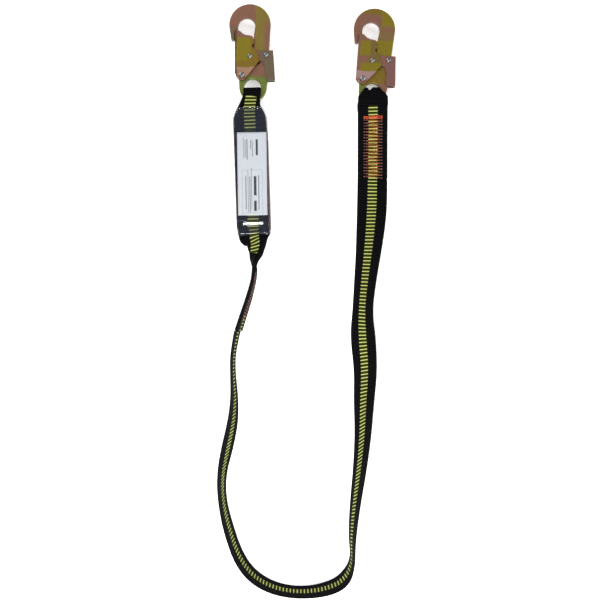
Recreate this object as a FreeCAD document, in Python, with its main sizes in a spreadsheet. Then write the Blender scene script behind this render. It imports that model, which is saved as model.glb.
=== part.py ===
"""Shock absorbing lanyard, laid out flat.

A folded tear-webbing energy absorber sits in a clear sleeve.  Its top end carries one
double-lock snap hook; its bottom end holds the sewn loop of a long webbing strap, which runs
round in a wide bend to a second sewn loop with the same kind of snap hook.

Frame: +X to the side, +Y towards the hooks, +Z up off the surface the lanyard lies on.
Origin: centre of the absorber's underside.  Units: millimetres and degrees.
"""
import FreeCAD, Part
import math
import os

import Sketcher
from FreeCAD import Placement, Rotation, Vector

# ---------------------------------------------------------------- driving dimensions
DIMENSIONS = {
    # energy absorber
    "pack_length": 187.0,
    "pack_width": 50.0,
    "pack_thickness": 29.0,
    "pack_tilt": 1.9,
    "sleeve_wall": 0.8,
    "shoulder_length": 15.0,
    "top_mouth_width": 37.0,
    "bottom_mouth_width": 47.0,
    "mouth_inset": 2.5,
    "sleeve_corner": 3.2,
    "soft_clearance": 0.3,
    "label_length": 120.6,
    "label_width": 43.0,
    "label_thickness": 0.25,
    "label_drop": 4.4,
    "label_room": 0.4,
    "tear_layers": 11,
    "layer_gap": 0.2,
    "end_room": 20.0,
    # webbing
    "webbing_width": 44.0,
    "webbing_thickness": 2.2,
    "stitch_thickness": 0.4,
    "stitch_width": 32.0,
    "loop_width": 20.0,
    "loop_inner_radius": 8.3,
    "pack_hook_reach": 17.55,
    "pack_hook_shift": 3.5,
    "end_hook_reach": 114.15,
    "end_stitch_length": 92.0,
    "loop_stitch_length": 62.0,
    # snap hook: forged body
    "body_thickness": 8.0,
    "body_edge_round": 1.0,
    "hook_outer_radius": 30.2,
    "hook_centre_x": 11.75,
    "hook_centre_y": 75.0,
    "throat_radius": 12.6,
    "throat_x": 7.0,
    "throat_y": 72.6,
    "eye_radius": 12.2,
    "eye_ring_radius": 20.3,
    "eye_x": 15.3,
    "eye_y": -16.6,
    "spine_left": 25.7,
    "spine_right": 39.9,
    "swing_drop": 13.5,
    "lug_radius": 6.6,
    "end_hook_turn": -4.5,
    # snap hook: gate, lock lever and rivets
    "plate_gap": 0.3,
    "lever_plate": 2.0,
    "gate_plate": 2.0,
    "gate_left": 10.1,
    "gate_top": 65.0,
    "gate_heel": 7.2,
    "lever_top": 36.5,
    "lever_right": 45.7,
    "lever_flare": 2.9,
    "lock_pin_x": 12.1,
    "lock_pin_y": 27.6,
    "lever_pivot_x": 35.6,
    "lever_pivot_y": 30.2,
    "gate_rivet_radius": 2.6,
    "gate_rivet_head": 4.2,
    "lock_pin_radius": 2.2,
    "lock_pin_head": 3.4,
    "head_height": 2.1,
    "fit_clearance": 0.02,
    "running_clearance": 0.08,
    # snap hook: springs
    "spring_wire": 1.1,
    "gate_coil_radius": 3.3,
    "lever_coil_radius": 2.6,
    "coil_pitch": 1.6,
}

# Route of the free strap: x and y of its centre line, and how far its width leans over from
# flat (0 or 180 degrees) to standing on edge (90 degrees).
STRAP_ROUTE = [
    (-22.7, -232.7, 90),
    (-29.6, -263.5, 92),
    (-29.5, -295.7, 93),
    (-26.4, -330.7, 98),
    (-30.2, -367.2, 103),
    (-38.7, -405.2, 105),
    (-45.8, -443.1, 101),
    (-44.8, -479.6, 97),
    (-36.2, -519.0, 100),
    (-20.1, -565.0, 100),
    (2.5, -592.8, 98),
    (36.1, -610.0, 95),
    (76.9, -614.7, 94),
    (117.6, -607.0, 99),
    (138.0, -591.8, 102),
    (146.6, -569.1, 93),
    (145.6, -542.4, 95),
    (147.3, -511.7, 99),
    (151.4, -475.2, 103),
    (157.0, -432.9, 108),
    (161.3, -384.7, 115),
    (162.6, -336.5, 123),
    (165.1, -289.8, 130),
    (161.0, -243.1, 135),
    (160.5, -205.1, 124),
    (164.0, -162.8, 129),
    (169.2, -119.0, 139),
    (173.6, -73.7, 157),
    (175.3, -40.2, 174),
    (175.8, -9.5, 180),
]

# Where the doubled loop below the absorber bends, after it leaves the sleeve: x, y and lean.
SEWN_LOOP_BENDS = [
    (3.9, -116.0, 50),
    (3.4, -127.0, 74),
    (2.5, -142.0, 88),
    (-0.4, -164.3, 90),
    (-6.3, -186.2, 90),
    (-13.6, -208.0, 90),
    (-21.5, -232.9, 90),
]

ARC_SHARE = 0.45        # part of the shorter run that a bend of the strap takes up
BEND_STEP = 15.0        # degrees of bend between two sections of a strap


class Size:
    """A length or angle that carries its value and its spreadsheet expression."""

    def __init__(self, value, text):
        self.value = float(value)
        self.text = text

    def __add__(self, other):
        return Size(self.value + number(other), f"({self.text} + {text(other)})")

    def __radd__(self, other):
        return Size(number(other) + self.value, f"({text(other)} + {self.text})")

    def __sub__(self, other):
        return Size(self.value - number(other), f"({self.text} - {text(other)})")

    def __rsub__(self, other):
        return Size(number(other) - self.value, f"({text(other)} - {self.text})")

    def __mul__(self, other):
        return Size(self.value * number(other), f"({self.text} * {text(other)})")

    __rmul__ = __mul__

    def __truediv__(self, other):
        return Size(self.value / number(other), f"({self.text} / {text(other)})")

    def __neg__(self):
        return Size(-self.value, f"(0 - {self.text})")


def number(size):
    """The plain value of a Size or of a number."""
    return size.value if isinstance(size, Size) else float(size)


def text(size):
    """The expression text of a Size or of a number."""
    return size.text if isinstance(size, Size) else repr(float(size))


class Sizes:
    """The spreadsheet's cells, read as sizes.name."""

    def __init__(self, document):
        self.sheet = document.addObject("Spreadsheet::Sheet", "Sizes")
        for row, (name, value) in enumerate(DIMENSIONS.items(), start=1):
            self.sheet.set(f"A{row}", name.replace("_", " "))
            self.sheet.set(f"B{row}", str(value))
            self.sheet.setAlias(f"B{row}", name)
        document.recompute()
        for name in DIMENSIONS:
            setattr(self, name, Size(self.sheet.get(name), f"Sizes.{name}"))


doc = FreeCAD.newDocument("ShockAbsorbingLanyard")
sizes = Sizes(doc)
parts = []


# ---------------------------------------------------------------- sketch and body helpers
class Bend:
    """An arc of an outline, from the corner before it to the corner after it."""

    def __init__(self, radius, turn):
        self.radius = radius
        self.turn = turn        # +1 counter-clockwise, -1 clockwise


def new_body(name):
    """An empty PartDesign body that becomes one sub-part."""
    body = doc.addObject("PartDesign::Body", name)
    body.Label = name
    parts.append(body)
    return body


def new_sketch(body, name, role="XY_Plane"):
    """A sketch on one of the body's own origin planes."""
    sketch = body.newObject("Sketcher::SketchObject", f"{body.Name}_{name}")
    plane = [item for item in body.Origin.OriginFeatures if item.Role == role][0]
    sketch.AttachmentSupport = [(plane, "")]
    sketch.MapMode = "FlatFace"
    return sketch


def fix(sketch, kind, *where, size):
    """Add one dimension to a sketch and bind it to its expression."""
    index = sketch.addConstraint(Sketcher.Constraint(kind, *where, number(size)))
    if isinstance(size, Size):
        sketch.setExpression(f"Constraints[{index}]", size.text)


def arc_between(start, end, radius, turn):
    """Arc of less than half a turn from start to end, as a circle arc."""
    chord = end - start
    half = chord.Length / 2
    left = Vector(-chord.y, chord.x, 0).normalize()
    rise = math.sqrt(max(radius * radius - half * half, 0.0))
    centre = start + chord / 2 + left * (turn * rise)
    first = math.atan2(start.y - centre.y, start.x - centre.x)
    last = math.atan2(end.y - centre.y, end.x - centre.x)
    if turn < 0:
        first, last = last, first
    return Part.ArcOfCircle(Part.Circle(centre, Vector(0, 0, 1), radius), first, last)


def draw_outline(sketch, outline):
    """Closed outline of corners (x, y) with an optional Bend between two of them."""
    corners = [item for item in outline if not isinstance(item, Bend)]
    points = [Vector(number(x), number(y), 0) for x, y in corners]
    bends = {}
    count = -1
    for item in outline:
        if isinstance(item, Bend):
            bends[count] = item
        else:
            count += 1
    ends = []
    for place, point in enumerate(points):
        following = points[(place + 1) % len(points)]
        bend = bends.get(place)
        if bend is None:
            edge = sketch.addGeometry(Part.LineSegment(point, following), False)
            ends.append((edge, 1, 2))
            continue
        curve = arc_between(point, following, number(bend.radius), bend.turn)
        edge = sketch.addGeometry(curve, False)
        ends.append((edge, 1, 2) if bend.turn > 0 else (edge, 2, 1))
        fix(sketch, "Radius", edge, size=bend.radius)
    for place, (edge, first, last) in enumerate(ends):
        after, after_first, _ = ends[(place + 1) % len(ends)]
        sketch.addConstraint(Sketcher.Constraint("Coincident", edge, last, after, after_first))
    for (edge, first, _), (x, y) in zip(ends, corners):
        fix(sketch, "DistanceX", edge, first, size=x)
        fix(sketch, "DistanceY", edge, first, size=y)


def draw_circle(sketch, x, y, radius):
    """Circle with its centre and radius bound to sizes."""
    centre = Vector(number(x), number(y), 0)
    edge = sketch.addGeometry(Part.Circle(centre, Vector(0, 0, 1), number(radius)), False)
    fix(sketch, "DistanceX", edge, 3, size=x)
    fix(sketch, "DistanceY", edge, 3, size=y)
    fix(sketch, "Radius", edge, size=radius)


def pad(body, sketch, thickness):
    """Thicken a sketch equally to both sides of its plane."""
    feature = body.newObject("PartDesign::Pad", f"{sketch.Name}_pad")
    feature.Profile = sketch
    feature.Midplane = True
    feature.setExpression("Length", text(thickness))
    doc.recompute()
    return feature


def pocket(body, sketch, thickness=None):
    """Cut a sketch equally to both sides of its plane, or right through."""
    before = body.Shape.Volume
    feature = body.newObject("PartDesign::Pocket", f"{sketch.Name}_pocket")
    feature.Profile = sketch
    feature.Midplane = True
    if thickness is None:
        feature.Type = "ThroughAll"
    else:
        feature.setExpression("Length", text(thickness))
    doc.recompute()
    if feature.Shape.Volume >= before - 1e-6:
        raise RuntimeError(f"{feature.Name} cuts nothing")
    return feature


def round_edges(body, base, keep, radius):
    """Round the edges of a feature that the test keep(edge) picks."""
    names = [f"Edge{n}" for n, edge in enumerate(base.Shape.Edges, start=1) if keep(edge)]
    feature = body.newObject("PartDesign::Fillet", f"{body.Name}_rounding")
    feature.Base = (base, names)
    feature.setExpression("Radius", text(radius))
    doc.recompute()
    return feature


def set_place(item, place):
    """Bind a sub-part's placement to its place: x, y, z and the turn about the vertical."""
    for axis, size in zip("xyz", place[:3]):
        item.setExpression(f"Placement.Base.{axis}", text(size))
    item.Placement = Placement(Vector(*map(number, place[:3])), Rotation(Vector(0, 0, 1), number(place[3])))
    item.setExpression("Placement.Rotation.Angle", text(place[3]))


# ---------------------------------------------------------------- shared levels and places
lever_inner = sizes.body_thickness / 2 + sizes.plate_gap
lever_outer = lever_inner + sizes.lever_plate
gate_inner = lever_outer + sizes.plate_gap
gate_outer = gate_inner + sizes.gate_plate
hook_level = gate_outer + sizes.plate_gap + sizes.head_height

swing_x = sizes.eye_x
swing_y = sizes.eye_y - sizes.swing_drop


def turned(x, y, angle):
    """A point turned about the vertical, as plain numbers."""
    turn = math.radians(number(angle))
    x = number(x)
    y = number(y)
    return x * math.cos(turn) - y * math.sin(turn), x * math.sin(turn) + y * math.cos(turn)


def pack_point(x, y, z):
    """A point of the absorber's own frame, in the lanyard's frame."""
    across, along = turned(x, y, sizes.pack_tilt)
    return Vector(across, along, number(z))


def hook_origin(swing_point, angle):
    """Where the gate rivet stands, for a hook whose eye hangs on swing_point."""
    across, along = turned(swing_x, swing_y, angle)
    return Vector(swing_point.x - across, swing_point.y - along, swing_point.z)


pack_top = sizes.pack_length / 2
pack_hook_swing = pack_point(sizes.pack_hook_shift, pack_top + sizes.pack_hook_reach, hook_level)
end_hook_swing = Vector(
    STRAP_ROUTE[-1][0] - 1.6, STRAP_ROUTE[-1][1] + number(sizes.end_hook_reach), number(hook_level)
)
HOOKS = {
    "pack_hook": (hook_origin(pack_hook_swing, 0), 0.0),
    "end_hook": (hook_origin(end_hook_swing, sizes.end_hook_turn), sizes.end_hook_turn),
}


# ---------------------------------------------------------------- snap hook
def hook_body(name, place):
    """Forged plate: nose, round top, shank, pivot lug and the round eye for the webbing."""
    s = sizes
    body = new_body(f"{name}_body")
    sketch = new_sketch(body, "outline")
    draw_outline(sketch, [
        (s.hook_centre_x - s.hook_outer_radius, s.hook_centre_y - 5),
        (-s.gate_left - 5.5, s.gate_top - 13),
        (-s.gate_left - 1.6, s.gate_top - 13),
        (-s.gate_left - s.plate_gap, s.gate_top - 11),
        (-s.gate_left - s.plate_gap, s.gate_top + 0.3),
        (s.throat_x - s.throat_radius - 0.4, s.gate_top + 1.9),
        (s.throat_x - s.throat_radius, s.throat_y),
        Bend(s.throat_radius, -1),
        (s.throat_x, s.throat_y + s.throat_radius),
        Bend(s.throat_radius, -1),
        (s.throat_x + s.throat_radius, s.throat_y),
        (s.throat_x + 10.0, s.gate_top - 9),
        (s.throat_x + 9.4, s.lever_top - 3),
        (s.spine_left, s.lever_top - 6),
        (s.spine_left, s.lever_top - 18.5),
        (1.2, s.lug_radius),
        (-s.lug_radius + 1.4, s.lug_radius - 2.6),
        (-s.lug_radius, 0),
        (s.eye_x - s.eye_ring_radius + 0.4, -s.lug_radius),
        (s.eye_x - s.eye_ring_radius + 0.9, s.eye_y),
        Bend(s.eye_ring_radius, +1),
        (s.eye_x + 0.9, s.eye_y - s.eye_ring_radius),
        Bend(s.eye_ring_radius, +1),
        (s.eye_x + s.eye_ring_radius + 0.9, s.eye_y),
        (s.spine_right - 2.1, -s.gate_heel),
        (s.spine_right - 0.6, s.lever_top - 26),
        (s.spine_right, s.lever_top + 1.6),
        (s.hook_centre_x + s.hook_outer_radius, s.hook_centre_y - 5),
        Bend(s.hook_outer_radius + 0.4, +1),
        (s.hook_centre_x, s.hook_centre_y + s.hook_outer_radius),
        Bend(s.hook_outer_radius + 0.4, +1),
    ])
    pad(body, sketch, s.body_thickness)
    holes = new_sketch(body, "holes")
    draw_circle(holes, s.eye_x, s.eye_y, s.eye_radius)
    draw_circle(holes, 0, 0, s.gate_rivet_radius + s.fit_clearance)
    draw_circle(holes, s.lever_pivot_x, s.lever_pivot_y, s.lock_pin_radius + s.fit_clearance)
    cut = pocket(body, holes)
    face = number(s.body_thickness) / 2
    throat = Vector(number(s.throat_x), number(s.throat_y), 0)

    def on_rim(edge):
        middle = edge.valueAt((edge.FirstParameter + edge.LastParameter) / 2)
        flat = abs(abs(middle.z) - face) < 1e-6
        small = isinstance(edge.Curve, Part.Circle) and edge.Curve.Radius < 5
        seat = (Vector(middle.x, middle.y, 0) - throat).Length < number(s.throat_radius) + 1.5
        return flat and not small and not seat

    round_edges(body, cut, on_rim, s.body_edge_round)
    set_place(body, place)


def hook_gate(name, place):
    """Bent plate gate: two cheeks joined by a web on the nose side."""
    s = sizes
    body = new_body(f"{name}_gate")
    sketch = new_sketch(body, "outline")
    draw_outline(sketch, [
        (-s.gate_left, s.gate_top),
        (-s.gate_left, 3),
        (-s.gate_left + 1.3, 0.4),
        (-2, -s.gate_heel),
        (2.9, -s.gate_heel),
        (s.spine_left - 0.1, s.lever_top - 15.9),
        (s.spine_left - 2.2, s.lever_top - 3.5),
        (s.lock_pin_x + 8.5, s.lever_top - 1.3),
        (s.lock_pin_x + 3.4, s.lever_top + 4.1),
        (s.lock_pin_x + 2.5, s.lever_top + 6.7),
        (s.lock_pin_x + 5.9, s.lever_top + 10.8),
        (s.throat_x + 9.4, s.gate_top - 9.2),
        (s.throat_x + 6.9, s.gate_top - 7.6),
        (s.throat_x - 0.7, s.gate_top - 6.5),
        (s.throat_x - 5.1, s.gate_top - 4.8),
        (s.throat_x - 8.8, s.gate_top - 1.5),
        (s.throat_x - 12.4, s.gate_top + 0.4),
    ])
    pad(body, sketch, gate_outer * 2)
    web_right = -s.gate_left + s.gate_plate
    inside = new_sketch(body, "inside")
    draw_outline(inside, [
        (web_right, s.gate_top + 5),
        (web_right, 4),
        (-s.gate_left - 5, 4),
        (-s.gate_left - 5, -s.gate_heel - 5),
        (s.spine_left + 10, -s.gate_heel - 5),
        (s.spine_left + 10, s.gate_top + 5),
    ])
    pocket(body, inside, gate_inner * 2)
    holes = new_sketch(body, "holes")
    draw_circle(holes, 0, 0, s.gate_rivet_radius + s.running_clearance)
    draw_circle(holes, s.lock_pin_x, s.lock_pin_y, s.lock_pin_radius + s.fit_clearance)
    pocket(body, holes)
    set_place(body, place)


def hook_lock_lever(name, place):
    """Bent plate thumb lever: two cheeks, a web behind the shank and a catch for the pin."""
    s = sizes
    body = new_body(f"{name}_lock_lever")
    sketch = new_sketch(body, "outline")
    draw_outline(sketch, [
        (s.lock_pin_x - 2.1, s.lever_top),
        (s.lock_pin_x - 2.1, s.lock_pin_y + 4.7),
        (s.lock_pin_x + 11.9, s.lock_pin_y - 5.4),
        (s.lever_pivot_x - 5.8, s.lever_pivot_y - 9.8),
        (s.lever_pivot_x - 0.9, s.lever_pivot_y - 19.7),
        (s.lever_pivot_x - 2.3, 0),
        (s.lever_pivot_x, -s.gate_heel),
        (s.lever_right + s.lever_flare, -s.gate_heel),
        (s.lever_right, s.lever_top),
    ])
    pad(body, sketch, lever_outer * 2)
    inside = new_sketch(body, "inside")
    draw_outline(inside, [
        (s.lock_pin_x - 10, s.lever_top + 5),
        (s.lock_pin_x - 10, -s.gate_heel - 5),
        (s.lever_right + s.lever_flare - s.lever_plate + 0.3, -s.gate_heel - 5),
        (s.lever_right - s.lever_plate - 0.3, s.lever_top + 5),
    ])
    pocket(body, inside, lever_inner * 2)
    holes = new_sketch(body, "holes")
    draw_circle(holes, s.lever_pivot_x, s.lever_pivot_y, s.lock_pin_radius + s.running_clearance)
    pocket(body, holes)
    set_place(body, place)


def rivet(name, place, x, y, radius, head, level):
    """Round rivet through the hook, with a domed head on each side at the given level."""
    s = sizes
    body = new_body(name)
    sketch = new_sketch(body, "profile", "XZ_Plane")
    top = level + s.head_height
    dome = head * 0.55
    draw_outline(sketch, [
        (0, -top),
        (head - dome, -top),
        (head - dome * 0.25, -top + s.head_height * 0.35),
        (head, -level),
        (radius, -level),
        (radius, level),
        (head, level),
        (head - dome * 0.25, top - s.head_height * 0.35),
        (head - dome, top),
        (0, top),
    ])
    turn = body.newObject("PartDesign::Revolution", f"{name}_turned")
    turn.Profile = sketch
    turn.ReferenceAxis = (sketch, ["V_Axis"])
    turn.Angle = 360
    doc.recompute()
    across, along = turned(x, y, place[3])
    set_place(body, (place[0] + across, place[1] + along, place[2], place[3]))


def wire_coil(radius, turns, wire, pitch):
    """Round-wire coil along Z, centred on the origin."""
    height = turns * pitch
    path = Part.Wire(Part.makeHelix(pitch, height, radius))
    section = Part.Wire([Part.Circle(Vector(radius, 0, 0), Vector(0, 1, 0), wire / 2).toShape()])
    coil = path.makePipeShell([section], True, True)
    coil.translate(Vector(0, 0, -height / 2))
    return coil


def gate_spring(name, place):
    """Torsion spring round the lock pin, one leg on the gate's web and one on the spine."""
    s = sizes
    wire = number(s.spring_wire)
    radius = number(s.gate_coil_radius)
    turns = 3.5
    rise = turns * number(s.coil_pitch) / 2
    coil = wire_coil(radius, turns, wire, number(s.coil_pitch))
    coil.rotate(Vector(0, 0, 0), Vector(0, 0, 1), 90)
    web_reach = number(s.lock_pin_x + s.gate_left - s.gate_plate) - wire / 2 - 0.3
    spine_reach = number(s.spine_left - s.lock_pin_x) - wire / 2 - 0.3
    low_leg = Part.makeCylinder(wire / 2, web_reach, Vector(0, radius, -rise), Vector(-1, 0, 0))
    high_leg = Part.makeCylinder(wire / 2, spine_reach, Vector(0, -radius, rise), Vector(1, 0, 0))
    add_solid(f"{name}_gate_spring", coil.fuse([low_leg, high_leg]).removeSplitter(),
              place, s.lock_pin_x, s.lock_pin_y)


def lever_spring(name, place):
    """Compression spring between the shank's back edge and the lever's web."""
    s = sizes
    wire = number(s.spring_wire)
    start = number(s.spine_right)
    end = number(s.lever_right + s.lever_flare * 0.6 - s.lever_plate)
    turns = 3
    pitch = (end - start - wire - 0.6) / turns
    coil = wire_coil(number(s.lever_coil_radius), turns, wire, pitch)
    coil.rotate(Vector(0, 0, 0), Vector(0, 1, 0), 90)
    add_solid(f"{name}_lever_spring", coil, place, (start + end) / 2, s.lever_top - 27)


def add_solid(name, shape, place=(0, 0, 0, 0), x=0, y=0):
    """A sub-part whose shape comes from Part's own functions."""
    item = doc.addObject("Part::Feature", name)
    item.Label = name
    item.Shape = shape
    across, along = turned(x, y, place[3])
    stand = Placement(
        Vector(number(place[0]) + across, number(place[1]) + along, number(place[2])),
        Rotation(Vector(0, 0, 1), number(place[3])),
    )
    item.Placement = stand.multiply(shape.Placement)
    parts.append(item)
    return item


def snap_hook(name, origin, angle):
    """One double-lock snap hook lying flat, its gate rivet at origin."""
    s = sizes
    place = (origin.x, origin.y, hook_level, angle)
    hook_body(name, place)
    hook_gate(name, place)
    hook_lock_lever(name, place)
    head_level = gate_outer + s.plate_gap
    rivet(f"{name}_gate_rivet", place, 0, 0, s.gate_rivet_radius, s.gate_rivet_head, head_level)
    rivet(f"{name}_lock_pin", place, s.lock_pin_x, s.lock_pin_y,
          s.lock_pin_radius, s.lock_pin_head, head_level)
    rivet(f"{name}_lever_rivet", place, s.lever_pivot_x, s.lever_pivot_y,
          s.lock_pin_radius, s.lock_pin_head, lever_outer + s.plate_gap)
    gate_spring(name, place)
    lever_spring(name, place)


# ---------------------------------------------------------------- webbing helpers
class Section:
    """One cross-section of a strap: centre, width direction, thickness direction, width."""

    def __init__(self, centre, across, normal, width):
        self.centre = centre
        self.across = across
        self.normal = normal
        self.width = width

    def wire(self, thickness, offset=0.0, width=None):
        """Closed rectangle, lifted off the strap's middle by offset."""
        side = self.across * ((width or self.width) / 2)
        up = self.normal * (thickness / 2)
        middle = self.centre + self.normal * offset
        return Part.makePolygon([
            middle - side - up, middle + side - up, middle + side + up, middle - side + up,
            middle - side - up,
        ])


def strap_solid(sections, thickness, offset=0.0, width=None):
    """Closed solid through all the sections of a strap."""
    wires = [section.wire(thickness, offset, width) for section in sections]
    return Part.makeLoft(wires, True, True)


def rounded_route(points):
    """Straight runs joined by tangent arcs: (point, direction, length so far, share) samples."""
    corners = [Vector(x, y, 0) for x, y, lean in points]
    runs = [after - before for before, after in zip(corners, corners[1:])]
    edges = []
    radii = []
    start = corners[0]
    for place in range(1, len(corners) - 1):
        before = runs[place - 1]
        after = runs[place]
        half = before.getAngle(after) / 2
        cut = ARC_SHARE * min(before.Length, after.Length)
        enter = corners[place] - before.normalize() * cut
        leave = corners[place] + Vector(after).normalize() * cut
        radii.append(cut / math.tan(half))
        bisector = (Vector(after).normalize() - before).normalize()
        middle = corners[place] + bisector * (radii[-1] / math.cos(half) - radii[-1])
        edges.append(Part.LineSegment(start, enter).toShape())
        edges.append(Part.Arc(enter, middle, leave).toShape())
        start = leave
    edges.append(Part.LineSegment(start, corners[-1]).toShape())
    return Part.Wire(edges), radii


def strap_stations(points):
    """Sample a route at the ends of its runs and evenly along its arcs, with the lean."""
    path, radii = rounded_route(points)
    lean_at = []
    travelled = 0.0
    for place, (x, y, lean) in enumerate(points):
        lean_at.append((travelled, lean))
        if place + 1 < len(points):
            travelled += math.hypot(points[place + 1][0] - x, points[place + 1][1] - y)
    scale = travelled / path.Length
    stations = []
    so_far = 0.0
    for edge in path.Edges:
        first = edge.FirstParameter
        last = edge.LastParameter
        steps = 1
        if isinstance(edge.Curve, Part.Circle):
            steps = max(1, math.ceil(math.degrees(last - first) / BEND_STEP))
        for step in range(steps):
            along = step / steps
            parameter = first + (last - first) * along
            stations.append((edge.valueAt(parameter), edge.tangentAt(parameter),
                             (so_far + edge.Length * along) * scale))
        so_far += edge.Length
    edge = path.Edges[-1]
    stations.append((edge.valueAt(edge.LastParameter), edge.tangentAt(edge.LastParameter), travelled))
    return [(point, along, lean_between(lean_at, where)) for point, along, where in stations], path, radii


def lean_between(lean_at, where):
    """Lean at a length along the route, between the two given ones."""
    for (first, low), (last, high) in zip(lean_at, lean_at[1:]):
        if where <= last + 1e-6:
            return low + (high - low) * (where - first) / (last - first)
    return lean_at[-1][1]


def leaning_section(point, along, lean, level, width):
    """Cross-section of a strap that leans by the given angle, its centre at level."""
    tilt = math.radians(lean)
    side = Vector(-along.y, along.x, 0)
    across = side * math.cos(tilt) + Vector(0, 0, 1) * math.sin(tilt)
    return Section(Vector(point.x, point.y, level), across, along.cross(across), width)


def resting_level(lean, width, thickness, lift):
    """Height of the centre of a leaning strap whose lower edge is lift above the ground."""
    tilt = math.radians(lean)
    return width / 2 * abs(math.sin(tilt)) + thickness / 2 * abs(math.cos(tilt)) + lift


# ---------------------------------------------------------------- absorber
def rounded_section(width, low, high, corner, y):
    """Rounded rectangle standing across the absorber at the given y."""
    left = -width / 2
    right = width / 2
    points = [(left + corner, low), (right - corner, low), (right, low + corner), (right, high - corner),
              (right - corner, high), (left + corner, high), (left, high - corner), (left, low + corner)]
    corners = [Vector(x, y, z) for x, z in points]
    bow = corner * (1 - math.sqrt(0.5))
    mids = {1: (right - bow, low + bow), 3: (right - bow, high - bow),
            5: (left + bow, high - bow), 7: (left + bow, low + bow)}
    edges = []
    for place, point in enumerate(corners):
        following = corners[(place + 1) % len(corners)]
        if place in mids:
            middle = Vector(mids[place][0], y, mids[place][1])
            edges.append(Part.Arc(point, middle, following).toShape())
        else:
            edges.append(Part.LineSegment(point, following).toShape())
    return Part.Wire(edges)


def sleeve_skin(inset):
    """Closed solid of the sleeve's outside, taken in by inset."""
    s = sizes
    end = number(pack_top)
    shoulder = end - number(s.shoulder_length)
    lower_shoulder = -end + number(s.shoulder_length) / 2
    full = number(s.pack_width) - 2 * inset
    high = number(s.pack_thickness) - inset
    corner = number(s.sleeve_corner) - inset
    step = number(s.mouth_inset)
    stations = [
        (number(s.bottom_mouth_width) - 2 * inset, inset, high - step, -end),
        (full, inset, high, lower_shoulder),
        (full, inset, high, shoulder),
        (number(s.top_mouth_width) - 2 * inset, inset, high - step, end),
    ]
    wires = [rounded_section(width, low, top, corner, y) for width, low, top, y in stations]
    return Part.makeLoft(wires, True, True)


def absorber_sleeve():
    """Clear shrink sleeve round the folded webbing, open at both ends."""
    skin = sleeve_skin(0.0).cut(sleeve_skin(number(sizes.sleeve_wall)))
    add_solid("absorber_sleeve", skin, (0, 0, 0, sizes.pack_tilt))


def tear_thickness():
    """Thickness of the tear webbing: its layers and their gaps share the height inside the sleeve."""
    s = sizes
    inside = s.pack_thickness - (s.sleeve_wall + s.soft_clearance) * 2 - s.label_room
    return number(inside / s.tear_layers - s.layer_gap)


def layer_level(layer):
    """Height of the middle of one layer of the folded tear webbing."""
    first = number(sizes.sleeve_wall + sizes.soft_clearance) + tear_thickness() / 2
    return first + layer * (tear_thickness() + number(sizes.layer_gap))


def fold_ends():
    """Lowest and highest y of the folded tear webbing."""
    s = sizes
    return number(-pack_top + s.end_room / 2), number(pack_top - s.shoulder_length - s.end_room)


def tear_webbing():
    """Energy-absorbing webbing folded to and fro into a stack."""
    s = sizes
    low, high = fold_ends()
    layers = int(number(s.tear_layers))
    half = tear_thickness() / 2
    pitch = tear_thickness() + number(s.layer_gap)
    bottom = layer_level(0) - half
    top = bottom + (layers - 1) * pitch + 2 * half
    stack = Part.makeBox(number(s.webbing_width), high - low, top - bottom,
                         Vector(-number(s.webbing_width) / 2, low, bottom))
    for layer in range(layers - 1):
        slit_low = bottom + layer * pitch + 2 * half
        joined_high = layer % 2 == 0
        start = low - 1 if joined_high else low + 2 * half
        length = high - low - 2 * half + 1
        slit = Part.makeBox(number(s.webbing_width) + 2, length, number(s.layer_gap),
                            Vector(-number(s.webbing_width) / 2 - 1, start, slit_low))
        stack = stack.cut(slit)
    add_solid("tear_webbing", stack, (0, 0, 0, s.pack_tilt))


def absorber_label():
    """Plain paper label lying between the sleeve and the folded webbing."""
    s = sizes
    under_sleeve = number(s.pack_thickness - s.sleeve_wall - s.label_thickness) - 0.05
    label = Part.makeBox(number(s.label_width), number(s.label_length), number(s.label_thickness),
                         Vector(-number(s.label_width) / 2,
                                -number(s.label_length) / 2 - number(s.label_drop), under_sleeve))
    add_solid("absorber_label", label, (0, 0, 0, s.pack_tilt))


def loop_arc(swing, half_gap, angle, steps=8):
    """Half circle of strap sections round the swing axis, from top to bottom, squared to the hook."""
    heading = Rotation(Vector(0, 0, 1), number(angle))
    sections = []
    for step in range(steps + 1):
        turn = math.radians(90 - 180 * step / steps)
        normal = heading.multVec(Vector(0, math.cos(turn), math.sin(turn)))
        across = heading.multVec(Vector(1, 0, 0))
        sections.append(Section(swing + normal * half_gap, across, normal, number(sizes.loop_width)))
    return sections


def leg_sections(points):
    """Sections of one leg of a loop, from (x, y, z, width) points; the strap lies flat across X."""
    sections = []
    for place, (x, y, z, width) in enumerate(points):
        before = points[max(place - 1, 0)]
        after = points[min(place + 1, len(points) - 1)]
        along = Vector(0, after[1] - before[1], after[2] - before[2]).normalize()
        normal = Vector(1, 0, 0).cross(along)
        sections.append(Section(Vector(x, y, z), Vector(1, 0, 0), normal, width))
    return sections


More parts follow.
